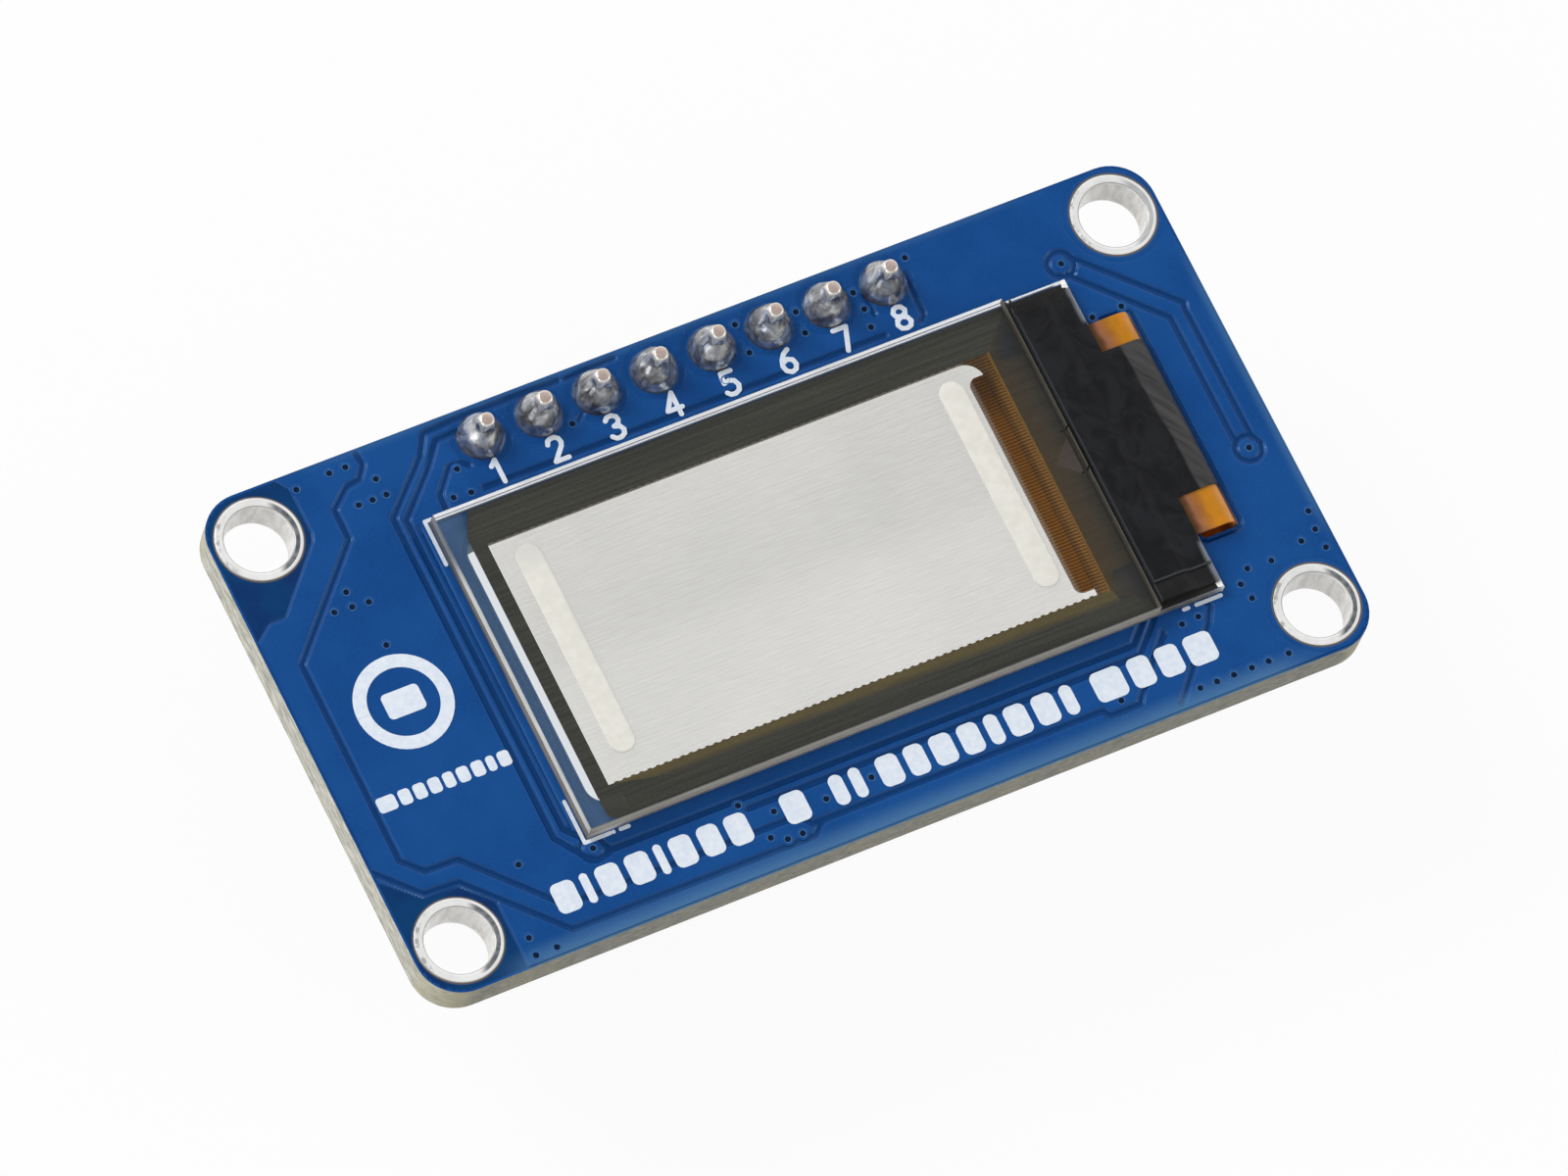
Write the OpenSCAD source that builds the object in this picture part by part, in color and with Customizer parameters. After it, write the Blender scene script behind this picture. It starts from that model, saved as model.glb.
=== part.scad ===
// Small see-through OLED display module on a blue circuit board.
// Millimetres. Origin: centre of the four screw holes on the board's underside, +Z out of the display face,
// +X along the board towards the flex, +Y across the board towards the pin header.

/* [Board] */
// Length of the circuit board
board_l = 41.7; // [40.5:0.1:60]
// Width of the circuit board
board_w = 22.3; // [22:0.1:40]
// Thickness of the circuit board
board_t = 1.6; // [0.8:0.1:2.4]
// Radius of the board's corners
corner_r = 1.8; // [0.5:0.1:2.4]

/* [Screw holes] */
// Clear diameter of each screw hole
hole_d = 2.7; // [2:0.1:2.9]
// Distance from a hole's centre to the board's short edge
hole_inset_x = 2; // [1.9:0.05:3]
// Distance from a hole's centre to the board's long edge
hole_inset_y = 2.1; // [1.9:0.05:3]
// Outer diameter of the tinned ring round a hole
ring_d = 3.55; // [3.3:0.05:3.7]
// Height of the ring above the board
ring_t = 0.06; // [0.03:0.01:0.12]
// Wall of the tinned barrel
barrel_t = 0.1; // [0.05:0.01:0.15]
// Radius of the barrel's mouth
mouth_r = 0.12; // [0.05:0.01:0.15]

/* [Header] */
// Distance between neighbouring pins
pin_pitch = 2.54; // [2:0.01:2.54]
// Distance from the pin row to the board's long edge
pin_inset = 1.4; // [1.3:0.05:1.6]
// Side of a square pin
pin_s = 0.64; // [0.5:0.01:0.7]
// Length of a pin below the header's body
pin_below = 6; // [3:0.1:12]
// Height of a pin above the board's face
pin_above = 1.8; // [1.4:0.1:3]
// Height of the header's body
body_h = 2.54; // [1.5:0.01:3]
// Width of the header's body
body_w = 2.5; // [2:0.05:2.54]
// Diameter of a header hole in the board
pin_hole_d = 1; // [0.99:0.01:1.2]
// Diameter of a solder joint at the board
solder_d = 1.8; // [1.4:0.05:2]
// Height of a solder joint
solder_h = 1.3; // [0.8:0.1:1.35]

/* [Display panel] */
// Length of the back glass
glass_l = 28; // [26:0.1:30]
// Width of both glasses
glass_w = 14.25; // [13.5:0.05:14.5]
// Thickness of the back glass
back_glass_t = 0.45; // [0.3:0.01:0.7]
// Thickness of the cover glass
cover_glass_t = 0.45; // [0.35:0.01:0.7]
// Length of the ledge that the cover glass leaves free
ledge_l = 2.9; // [2.7:0.1:3.2]
// Distance from the board's end to the panel
panel_gap = 5.25; // [4.9:0.05:5.5]
// Thickness of the adhesive under the panel
adhesive_t = 0.05; // [0.03:0.01:0.2]
// Width of an adhesive strip
adhesive_w = 0.8; // [0.4:0.05:0.9]
// Gap between the two glasses
glass_gap = 0.04; // [0.03:0.005:0.1]
// Width of the glue line between the glasses
seal_w = 0.9; // [0.5:0.05:1.1]
// Depth of the pocket etched into the cover glass
pocket_d = 0.2; // [0.1:0.01:0.25]
// Distance from the cover glass's edges to the pocket
pocket_inset = 1.25; // [1.2:0.05:1.4]

/* [Film, pixels and drying strips] */
// Thickness of the metal film
film_t = 0.02; // [0.01:0.005:0.025]
// Distance from the panel's short edge to the film
film_inset_x = 1; // [0.95:0.05:1.2]
// Distance from the panel's long edge to the film
film_inset_y = 0.2; // [0.1:0.05:0.4]
// Width of the film's left bar
film_bar_w = 0.62; // [0.4:0.02:0.8]
// Width of the film's fan-out beside the ledge
fan_out_w = 1.37; // [1.3:0.01:1.6]
// Width of the clear field in the film
clear_w = 10.94; // [9.7:0.02:11.4]
// Sideways shift of the clear field
clear_y = -0.09; // [-0.15:0.01:0.15]
// Clear margin between the pixel field and the fan-out
pixel_margin = 0.27; // [0.02:0.01:0.4]
// Clearance between the pixel field and the film
pixel_clear = 0.02; // [0.01:0.01:0.1]
// Length of a drying strip
strip_l = 9.4; // [6:0.1:10]
// Width of a drying strip
strip_w = 1.1; // [0.8:0.05:1.3]
// Thickness of a drying strip
strip_t = 0.08; // [0.04:0.01:0.09]
// Distance from the clear field's left end to the first strip's centre
strip_left_gap = 1.26; // [0.8:0.01:2]
// Distance from the clear field's right end to the second strip's centre
strip_right_gap = 2.09; // [1.6:0.01:3]

/* [Board window and flex slot] */
// Distance from the window to the panel's long edges
window_land = 1.125; // [1.025:0.025:1.3]
// Radius of the window's corners
window_r = 0.8; // [0.4:0.1:1.2]
// Distance from the panel's left end to the window
window_inset = 0.85; // [0.8:0.05:0.95]
// Distance from the window to the cover glass's end
window_end_land = 1.2; // [1.1:0.05:1.3]
// Distance from the panel's end to the flex slot
slot_gap = 0.3; // [0.1:0.05:0.6]
// Clearance round the flex in its slot
slot_clear = 0.08; // [0.05:0.01:0.2]
// Radius of the slot's corners
slot_r = 0.2; // [0.1:0.05:0.4]

/* [Ledge, flex and tape] */
// Thickness of the driver chip
chip_t = 0.3; // [0.15:0.01:0.4]
// Width of the driver chip along the board
chip_w = 0.9; // [0.6:0.05:1]
// Length of the driver chip across the board
chip_l = 6.8; // [5:0.1:9]
// Thickness of the flex
flex_t = 0.1; // [0.06:0.01:0.14]
// Width of the flex
flex_w = 9.7; // [8:0.1:10]
// Sideways shift of the flex
flex_y = 0.1; // [-0.2:0.05:0.3]
// Length of the flex's bond on the ledge
bond_l = 1.1; // [0.8:0.05:1.2]
// Distance from the panel's end to the outside of the flex's fold
fold_reach = 1.8; // [1.4:0.05:2]
// Outer radius of the flex's two bends
fold_r = 0.55; // [0.4:0.05:1]
// Width of the soldered tail of the flex
tail_w = 9.9; // [8:0.1:10.4]
// Sideways shift of the tail
tail_y = 0.38; // [-0.2:0.02:0.6]
// Stretch of the tail that shows inside the window
tail_show = 0.7; // [0.2:0.05:1.2]
// Thickness of the black tape
tape_t = 0.08; // [0.04:0.01:0.12]
// Distance from the sealant's side to the tape's side
tape_margin = 0.6; // [0.3:0.05:1]
// Width of the tape's tongue over the bend
tongue_w = 6.7; // [5:0.1:7.5]
// Depth that the tongue reaches down the fold
tongue_drop = 1.3; // [0.8:0.1:1.6]
// Sideways shift of the tongue from the flex
tongue_shift = 0.2; // [-0.5:0.05:0.5]
// Overlap of the tongue on the pad
tape_lap = 0.2; // [0.15:0.05:0.4]
// Distance from the panel's long edge to the sealant
sealant_margin = 0.375; // [0.3:0.025:0.5]

/* [Back side] */
// Number of soldered contacts on the flex's tail
contacts = 24; // [12:1:26]
// Distance between two contacts
contact_pitch = 0.38; // [0.34:0.01:0.4]
// Length of a contact's solder
contact_l = 1.6; // [1:0.1:2]
// Distance from the window's edge to the flex's solder
contact_gap = 0.6; // [0.3:0.05:1]
// Height of the solder and copper under each back-side part
pad_t = 0.05; // [0.03:0.01:0.1]
// Distance from the window to the nearest column of parts
column_gap = 1.6; // [1.2:0.1:1.8]
// Distance between the two columns of parts
column_pitch = 3.1; // [2.8:0.1:3.4]
// Distance from the board's long edge to the row of parts
row_inset = 2.6; // [1.8:0.1:2.8]
// Distance between neighbouring parts in a column or row
part_pitch = 3.1; // [2.4:0.1:3.3]
// Length of the solder in front of a chip part
toe_l = 0.3; // [0.1:0.05:0.35]
// Height that the solder climbs up a chip part
climb_h = 0.3; // [0.15:0.05:0.4]
// Length of a chip part
chip_part_l = 1.6; // [1.2:0.1:1.8]
// Width of a chip part
chip_part_w = 0.8; // [0.6:0.05:0.9]
// Length of a chip part's end cap
cap_l = 0.3; // [0.15:0.05:0.4]
// Height of a chip capacitor
capacitor_h = 0.8; // [0.5:0.05:1]
// Height of a chip resistor
resistor_h = 0.45; // [0.3:0.05:0.6]
// Length of the regulator's body
regulator_l = 2.9; // [2.6:0.1:3.2]
// Width of the regulator's body
regulator_w = 1.6; // [1.4:0.1:1.8]
// Height of the regulator's body
regulator_h = 1.1; // [0.9:0.05:1.3]

/* [Hidden] */
PINS = 8;
HOLES = 4;
CAPACITORS = 6;
RESISTORS = 6;
$fn = 40;

// Overlap of a cut past the face that it opens
cut = 0.5;

// Screw holes, counted from the corner at -X -Y
hole_x = board_l / 2 - hole_inset_x;
hole_y = board_w / 2 - hole_inset_y;
hole_spots = [[-1, -1], [1, -1], [1, 1], [-1, 1]];

// Header
row_y = board_w / 2 - pin_inset;
pin_top = board_t + pin_above;
pin_bottom = -body_h - pin_below;
pin_len = pin_top - pin_bottom;
pin_tip = 0.75;
tip_h = 0.3;
function pin_x(i) = (i - (PINS + 1) / 2) * pin_pitch;

// Heights through the panel
glass_z = board_t + adhesive_t;
ledge_z = glass_z + back_glass_t;
cover_z = ledge_z + glass_gap;
panel_top = cover_z + cover_glass_t;

// Panel outline along the board
panel_right = board_l / 2 - panel_gap;
panel_left = panel_right - glass_l;
panel_x = (panel_left + panel_right) / 2;
cover_l = glass_l - ledge_l;
cover_right = panel_left + cover_l;
window_left = panel_left + window_inset;
window_right = cover_right - window_end_land;
window_l = window_right - window_left;
window_w = glass_w - 2 * window_land;
film_left = panel_left + film_inset_x;
clear_left = film_left + film_bar_w;
film_right = cover_right - film_inset_y / 2;
clear_right = film_right - fan_out_w;
clear_l = clear_right - clear_left;
film_w = glass_w - 2 * film_inset_y;
film_chamfer = 0.5;

// Pocket of the cover glass and the strips on its roof
pocket_left = panel_left + pocket_inset;
pocket_l = cover_l - 2 * pocket_inset;
pocket_w = glass_w - 2 * pocket_inset;
strip_z = cover_z + pocket_d - strip_t;

// Ledge: chip, then the bonded end of the flex
chip_gap = 0.4;
chip_x = cover_right + chip_gap;
bond_x = panel_right - bond_l;
slope_x = bond_x - 0.3;
sealant_w = glass_w - 2 * sealant_margin;
flex_top = ledge_z + flex_t;

// Fold of the flex: down from the ledge's height to the board's back, with a bend at each end
tail_z = -pad_t - flex_t;
fold_right = panel_right + fold_reach;
bend_x = fold_right - fold_r;
fold_lap = 0.1;
tail_end = window_right - tail_show;
tail_r = 0.35;
solder_x = window_right + contact_gap;

// Slot that the flex and the tape's tongue go through
slot_left = panel_right + slot_gap;
slot_right = fold_right + tape_t + slot_clear / 2;
slot_w = flex_w + 2 * slot_clear;

// Back-side parts: [x, y, turn] from the board's centre
near_column = window_left - column_gap;
far_column = near_column - column_pitch;
lower_row = -board_w / 2 + row_inset;
capacitor_spots = [
    [far_column, 1.7 * part_pitch, 0], [far_column, -0.8 * part_pitch, 0], [-2.5 * part_pitch, lower_row, 90],
    [-1.5 * part_pitch, lower_row, 90], [1.5 * part_pitch, lower_row, 90], [2.5 * part_pitch, lower_row, 90]
];
resistor_spots = [
    [near_column, 1.5 * part_pitch, 90], [near_column, 0.5 * part_pitch, 90],
    [near_column, -0.5 * part_pitch, 90], [near_column, -1.5 * part_pitch, 90],
    [-0.5 * part_pitch, lower_row, 90], [0.5 * part_pitch, lower_row, 90]
];
regulator_spot = [far_column, 0.45 * part_pitch, 0];

// Flat plate with round corners, centred
module rounded_plate(l, w, r, t) {
    linear_extrude(t) rounded_outline(l, w, r);
}

module rounded_outline(l, w, r) {
    square([l - 2 * r, w], center = true);
    square([l, w - 2 * r], center = true);
    for (sx = [-1, 1], sy = [-1, 1])
        translate([sx * (l / 2 - r), sy * (w / 2 - r)]) circle(r);
}

// Plain block from its lowest corner to its highest
module block(low, high) {
    translate(low) cube(high - low);
}

module circuit_board() {
    color([0.06, 0.3, 0.6])
    difference() {
        rounded_plate(board_l, board_w, corner_r, board_t);
        for (s = hole_spots)
            translate([s[0] * hole_x, s[1] * hole_y, -cut])
                cylinder(r = hole_d / 2 + barrel_t, h = board_t + 2 * cut);
        for (i = [1:PINS])
            translate([pin_x(i), row_y, -cut]) cylinder(d = pin_hole_d, h = board_t + 2 * cut);
        translate([window_left + window_l / 2, 0, -cut])
            rounded_plate(window_l, window_w, window_r, board_t + 2 * cut);
        translate([(slot_left + slot_right) / 2, flex_y, -cut])
            rounded_plate(slot_right - slot_left, slot_w, slot_r, board_t + 2 * cut);
    }
}

// Tinned eyelet: a barrel with a flat ring on both faces and a rounded mouth
module hole_plating(i) {
    bore = hole_d / 2;
    steps = 4;
    top = board_t / 2 + ring_t;
    mouth = [for (k = [0:steps]) let (a = 90 * k / steps)
        [bore + mouth_r * (1 - cos(a)), top - mouth_r * (1 - sin(a))]];
    upper = concat(
        mouth,
        [[ring_d / 2 - ring_t / 2, top], [ring_d / 2, top - ring_t / 2], [ring_d / 2, board_t / 2],
         [bore + barrel_t, board_t / 2]]
    );
    lower = [for (k = [len(upper) - 1:-1:0]) [upper[k][0], -upper[k][1]]];
    color([0.85, 0.85, 0.84])
    translate([hole_spots[i - 1][0] * hole_x, hole_spots[i - 1][1] * hole_y, board_t / 2])
        rotate_extrude() polygon(concat(upper, lower));
}

// Insulator of the header: one block per pin, with the corners between the blocks cut off
module header_body() {
    notch = 0.4;
    half = pin_pitch / 2;
    side = body_w / 2;
    color([0.08, 0.08, 0.08])
    translate([0, row_y, -body_h])
    difference() {
        linear_extrude(body_h)
            for (i = [1:PINS])
                translate([pin_x(i), 0])
                    polygon([
                        [-half, -side + notch], [-half + notch, -side], [half - notch, -side],
                        [half, -side + notch], [half, side - notch], [half - notch, side],
                        [-half + notch, side], [-half, side - notch]
                    ]);
        for (i = [1:PINS])
            translate([pin_x(i) - pin_s / 2, -pin_s / 2, -cut]) cube([pin_s, pin_s, body_h + 2 * cut]);
    }
}

// Square pin with cut, slightly coned ends
module header_pin(i) {
    tip_r = pin_tip * pin_s / 2;
    wide = 0.72 * pin_s;
    color([0.8, 0.79, 0.76])
    translate([pin_x(i), row_y, pin_bottom])
    intersection() {
        translate([-pin_s / 2, -pin_s / 2, 0]) cube([pin_s, pin_s, pin_len]);
        rotate_extrude() polygon([
            [0, 0], [tip_r, 0], [wide, 2 * tip_h], [wide, pin_len - tip_h], [tip_r, pin_len], [0, pin_len]
        ]);
    }
}

// Solder: fills the hole round the pin and rises in a full dome to it
module solder_joint(i) {
    foot = solder_d / 2;
    neck = pin_s * 0.72;
    steps = 6;
    rim = 0.12;
    slope = [for (k = [0:steps]) let (u = k / steps)
        [neck + (foot - neck) * cos(90 * u), rim + (solder_h - rim) * sin(90 * u)]];
    color([0.5, 0.5, 0.52])
    translate([pin_x(i), row_y, board_t])
    difference() {
        rotate_extrude() polygon(concat(
            [[0, -board_t], [pin_hole_d / 2, -board_t], [pin_hole_d / 2, 0], [foot, 0]],
            slope,
            [[0, solder_h]]
        ));
        translate([-pin_s / 2, -pin_s / 2, -board_t - cut]) cube([pin_s, pin_s, board_t + solder_h + 2 * cut]);
    }
}

module panel_adhesive() {
    strip_y = (window_w + glass_w) / 4;
    color([0.85, 0.85, 0.8])
    for (s = [-1, 1])
        translate([panel_x, s * strip_y, board_t + adhesive_t / 2])
            cube([glass_l - adhesive_w, adhesive_w, adhesive_t], center = true);
}

module back_glass() {
    color([0.8, 0.85, 0.85, 0.4])
    block([panel_left, -glass_w / 2, glass_z], [panel_right, glass_w / 2, ledge_z]);
}

// Outer outline of the metal film, with the corners cut at the left
module film_outline() {
    half = film_w / 2;
    polygon([
        [film_left, -half + 2 * film_chamfer], [film_left + film_chamfer, -half], [film_right, -half],
        [film_right, half], [film_left + film_chamfer, half], [film_left, half - 2 * film_chamfer]
    ]);
}

// Metal film: a frame round the clear field
module wiring_film() {
    color([0.25, 0.25, 0.21])
    translate([0, 0, ledge_z])
    linear_extrude(film_t)
    difference() {
        film_outline();
        translate([clear_left, clear_y - clear_w / 2]) square([clear_l, clear_w]);
    }
}

module pixel_layer() {
    low_y = clear_y - clear_w / 2;
    color([0.8, 0.8, 0.78, 0.4])
    block(
        [clear_left + pixel_clear, low_y + pixel_clear, ledge_z],
        [clear_right - pixel_margin, low_y + clear_w - pixel_clear, ledge_z + film_t]
    );
}

// Glue line between the glasses, outside the pocket and over the film
module edge_seal() {
    plug_w = 2;
    plug_l = 0.15;
    color([0.6, 0.6, 0.55])
    union() {
        difference() {
            block([panel_left, -glass_w / 2, ledge_z], [cover_right, glass_w / 2, cover_z]);
            block(
                [panel_left + seal_w, -glass_w / 2 + seal_w, ledge_z - cut],
                [cover_right - seal_w, glass_w / 2 - seal_w, cover_z + cut]
            );
            translate([0, 0, ledge_z - cut]) linear_extrude(film_t + cut) film_outline();
        }
        block([cover_right, flex_y - plug_w / 2, ledge_z], [cover_right + plug_l, flex_y + plug_w / 2, cover_z + 0.2]);
    }
}

module cover_glass() {
    color([0.8, 0.85, 0.85, 0.4])
    difference() {
        block([panel_left, -glass_w / 2, cover_z], [cover_right, glass_w / 2, panel_top]);
        translate([pocket_left + pocket_l / 2, 0, cover_z - cut])
            rounded_plate(pocket_l, pocket_w, 0.5, pocket_d + cut);
    }
}

module drying_strip(x) {
    color([0.92, 0.92, 0.86])
    translate([x, -clear_y, strip_z]) rounded_plate(strip_w, strip_l, strip_w / 2 - 0.01, strip_t);
}

module driver_chip() {
    color([0.3, 0.3, 0.33])
    block(
        [chip_x, flex_y - chip_l / 2, ledge_z],
        [chip_x + chip_w, flex_y + chip_l / 2, ledge_z + chip_t]
    );
}

// Side view of the resin on the ledge: level over the chip, then down to the flex
function ledge_slope(rise) = [
    [slope_x, ledge_z + chip_t + rise], [bond_x + 0.1, flex_top + rise], [panel_right - 0.1, flex_top + rise]
];

// Stretch of a side view across the board
module across(w, y) {
    translate([0, y + w / 2, 0]) rotate([90, 0, 0]) linear_extrude(w) children();
}

module ledge_sealant() {
    color([0.05, 0.05, 0.06])
    difference() {
        across(sealant_w, -flex_y)
            polygon(concat(
                [[cover_right + 0.2, ledge_z], [cover_right + 0.2, ledge_z + chip_t]],
                ledge_slope(0),
                [[panel_right - 0.1, ledge_z]]
            ));
        block(
            [chip_x, flex_y - chip_l / 2, ledge_z - cut],
            [chip_x + chip_w, flex_y + chip_l / 2, ledge_z + chip_t + cut]
        );
        block(
            [bond_x, flex_y - flex_w / 2, ledge_z - cut],
            [panel_right + cut, flex_y + flex_w / 2, flex_top]
        );
    }
}

// Side view of the fold's outline, the given depth inside the flex's outer face
module fold_outline(depth) {
    low = tail_z + depth;
    high = flex_top - depth;
    reach = fold_r - depth;
    for (z = [tail_z + fold_r, flex_top - fold_r]) translate([bend_x, z]) circle(reach);
    translate([bend_x - fold_r, low]) square([fold_r, high - low]);
    translate([bend_x - fold_r, tail_z + fold_r]) square([fold_r + reach, flex_top - tail_z - 2 * fold_r]);
}

// Layer of the fold between two depths, lapping a little over the straight runs
module fold_layer(inner, outer) {
    difference() {
        fold_outline(outer);
        fold_outline(inner);
        translate([bend_x - fold_lap - 2 * fold_r, tail_z - fold_r])
            square([2 * fold_r, flex_top - tail_z + 2 * fold_r]);
    }
}

// Flex: bonded end on the ledge, fold through the slot, tail along the board's back
module flex_cable() {
    color([0.8, 0.5, 0.12])
    union() {
        across(flex_w, flex_y) {
            polygon([[bond_x, ledge_z], [bend_x, ledge_z], [bend_x, flex_top], [bond_x, flex_top]]);
            fold_layer(flex_t, 0);
            polygon([
                [slot_left - tail_r, tail_z], [bend_x, tail_z],
                [bend_x, tail_z + flex_t], [slot_left - tail_r, tail_z + flex_t]
            ]);
        }
        tail_l = slot_left - tail_end;
        translate([tail_end + tail_l / 2, tail_y, tail_z]) rounded_plate(tail_l, tail_w, tail_r, flex_t);
    }
}

// Tape: a wide pad over the ledge and a narrower tongue over the bend
module black_tape() {
    pad_left = cover_right + 0.2;
    color([0.12, 0.12, 0.13])
    union() {
        across(sealant_w - 2 * tape_margin, flex_y)
            polygon(concat(
                [[pad_left, ledge_z + chip_t], [pad_left, ledge_z + chip_t + tape_t]],
                ledge_slope(tape_t),
                [for (k = [2:-1:0]) ledge_slope(0)[k]]
            ));
        across(tongue_w, flex_y + tongue_shift) {
            polygon([
                [panel_right - tape_lap, flex_top], [bend_x, flex_top],
                [bend_x, flex_top + tape_t], [panel_right - tape_lap, flex_top + tape_t]
            ]);
            difference() {
                fold_layer(0, -tape_t);
                translate([bend_x - fold_r, tail_z - fold_r])
                    square([3 * fold_r, flex_top - tongue_drop - tail_z + fold_r]);
            }
        }
    }
}

// Soldered contacts: one bar per conductor, from the board's back round the edge of the flex's finger window
module flex_solder() {
    bar_w = contact_pitch * 0.6;
    color([0.75, 0.75, 0.75])
    for (k = [0:contacts - 1])
        translate([solder_x, tail_y + (k - (contacts - 1) / 2) * contact_pitch - bar_w / 2, tail_z + flex_t])
            cube([contact_l, bar_w, pad_t]);
}

// Chip part on the back: block with slightly larger end caps
module chip_part(spot, h) {
    skin = 0.02;
    translate([spot[0], spot[1], -pad_t - h]) rotate(spot[2])
    union() {
        translate([-chip_part_l / 2 + skin, -chip_part_w / 2 + skin, skin])
            cube([chip_part_l - 2 * skin, chip_part_w - 2 * skin, h - 2 * skin]);
        for (s = [-1, 1])
            translate([s * (chip_part_l - cap_l) / 2, 0, h / 2])
                cube([cap_l, chip_part_w, h], center = true);
    }
}

module capacitor(i) {
    color([0.6, 0.5, 0.38]) chip_part(capacitor_spots[i - 1], capacitor_h);
}

module resistor(i) {
    color([0.15, 0.15, 0.16]) chip_part(resistor_spots[i - 1], resistor_h);
}

// Small moulded body with drafted sides
module regulator_body() {
    draft = 0.12;
    stand = 0.1;
    half_w = regulator_w / 2;
    color([0.1, 0.1, 0.1])
    translate([regulator_spot[0], regulator_spot[1], -pad_t - stand])
    rotate([90, 0, 90]) translate([0, 0, -regulator_l / 2])
    linear_extrude(regulator_l)
        polygon([
            [-half_w + draft, 0], [half_w - draft, 0], [half_w, -regulator_h / 2 + stand],
            [half_w - draft, -regulator_h], [-half_w + draft, -regulator_h], [-half_w, -regulator_h / 2 + stand]
        ]);
}

// Five gull-wing leads: three on one side, two on the other
module regulator_leads() {
    lead_w = 0.4;
    lead_t = 0.15;
    lead_pitch = 0.95;
    reach = 0.6;
    waist = -pad_t - regulator_h / 2 + lead_t / 2;
    color([0.75, 0.75, 0.74])
    for (lead = [[-1, -1], [0, -1], [1, -1], [-1, 1], [1, 1]])
        translate([regulator_spot[0] + lead[0] * lead_pitch, regulator_spot[1], 0])
        mirror([0, lead[1] < 0 ? 1 : 0, 0])
        rotate([90, 0, 90]) translate([0, 0, -lead_w / 2])
        linear_extrude(lead_w)
            polygon([
                [regulator_w / 2, waist - lead_t], [regulator_w / 2, waist], [regulator_w / 2 + 0.25, waist],
                [regulator_w / 2 + 0.35, 0], [regulator_w / 2 + reach, 0], [regulator_w / 2 + reach, -lead_t],
                [regulator_w / 2 + 0.47, -lead_t], [regulator_w / 2 + 0.37, waist - lead_t]
            ]);
}

// Solder under and against both ends of every chip part
module component_solder() {
    color([0.7, 0.7, 0.71])
    for (spot = concat(capacitor_spots, resistor_spots))
        translate([spot[0], spot[1], 0]) rotate(spot[2])
        for (s = [0, 1])
            mirror([s, 0, 0])
            translate([0, chip_part_w / 2, 0]) rotate([90, 0, 0])
            linear_extrude(chip_part_w)
                polygon([
                    [chip_part_l / 2 - cap_l, 0], [chip_part_l / 2 + toe_l, 0],
                    [chip_part_l / 2 + toe_l, -pad_t], [chip_part_l / 2, -pad_t - climb_h],
                    [chip_part_l / 2, -pad_t], [chip_part_l / 2 - cap_l, -pad_t]
                ]);
}

circuit_board();
for (i = [1:HOLES]) hole_plating(i);
header_body();
for (i = [1:PINS]) header_pin(i);
for (i = [1:PINS]) solder_joint(i);
panel_adhesive();
back_glass();
wiring_film();
pixel_layer();
edge_seal();
cover_glass();
drying_strip(clear_left + strip_left_gap);  // drying_strip_left
drying_strip(clear_right - strip_right_gap);  // drying_strip_right
driver_chip();
ledge_sealant();
flex_cable();
black_tape();
flex_solder();
regulator_body();
regulator_leads();
for (i = [1:CAPACITORS]) capacitor(i);
for (i = [1:RESISTORS]) resistor(i);
component_solder();
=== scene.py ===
import math
from functools import partialmethod

import bpy
import numpy as np
from mathutils import Matrix, Vector, noise


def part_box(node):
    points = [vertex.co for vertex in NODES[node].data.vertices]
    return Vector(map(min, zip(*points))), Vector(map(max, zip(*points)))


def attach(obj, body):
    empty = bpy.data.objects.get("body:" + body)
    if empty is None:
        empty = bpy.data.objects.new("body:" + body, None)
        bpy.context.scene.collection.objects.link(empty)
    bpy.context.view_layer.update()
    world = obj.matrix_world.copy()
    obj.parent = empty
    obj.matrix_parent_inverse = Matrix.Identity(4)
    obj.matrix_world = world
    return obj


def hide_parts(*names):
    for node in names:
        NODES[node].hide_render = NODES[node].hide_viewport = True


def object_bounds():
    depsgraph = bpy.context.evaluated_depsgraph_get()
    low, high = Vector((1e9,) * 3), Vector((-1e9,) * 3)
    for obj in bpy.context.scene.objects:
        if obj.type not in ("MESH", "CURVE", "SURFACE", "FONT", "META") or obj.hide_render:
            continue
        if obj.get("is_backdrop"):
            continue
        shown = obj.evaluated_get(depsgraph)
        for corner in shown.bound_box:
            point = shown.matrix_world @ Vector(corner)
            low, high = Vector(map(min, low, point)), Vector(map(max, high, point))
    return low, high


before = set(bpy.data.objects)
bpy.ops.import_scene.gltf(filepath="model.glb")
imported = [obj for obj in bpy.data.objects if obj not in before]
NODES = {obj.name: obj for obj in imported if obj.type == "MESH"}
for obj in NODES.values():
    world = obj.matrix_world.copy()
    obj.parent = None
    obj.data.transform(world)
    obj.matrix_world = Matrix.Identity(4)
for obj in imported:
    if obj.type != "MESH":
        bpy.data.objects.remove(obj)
CAD_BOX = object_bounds()
MM = 0.001
scene = bpy.context.scene


# ---- places, in mm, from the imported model
def box_mm(node):
    low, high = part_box(node)
    return [v / MM for v in low], [v / MM for v in high]


def middle(box, axis):
    return (box[0][axis] + box[1][axis]) / 2


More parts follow.
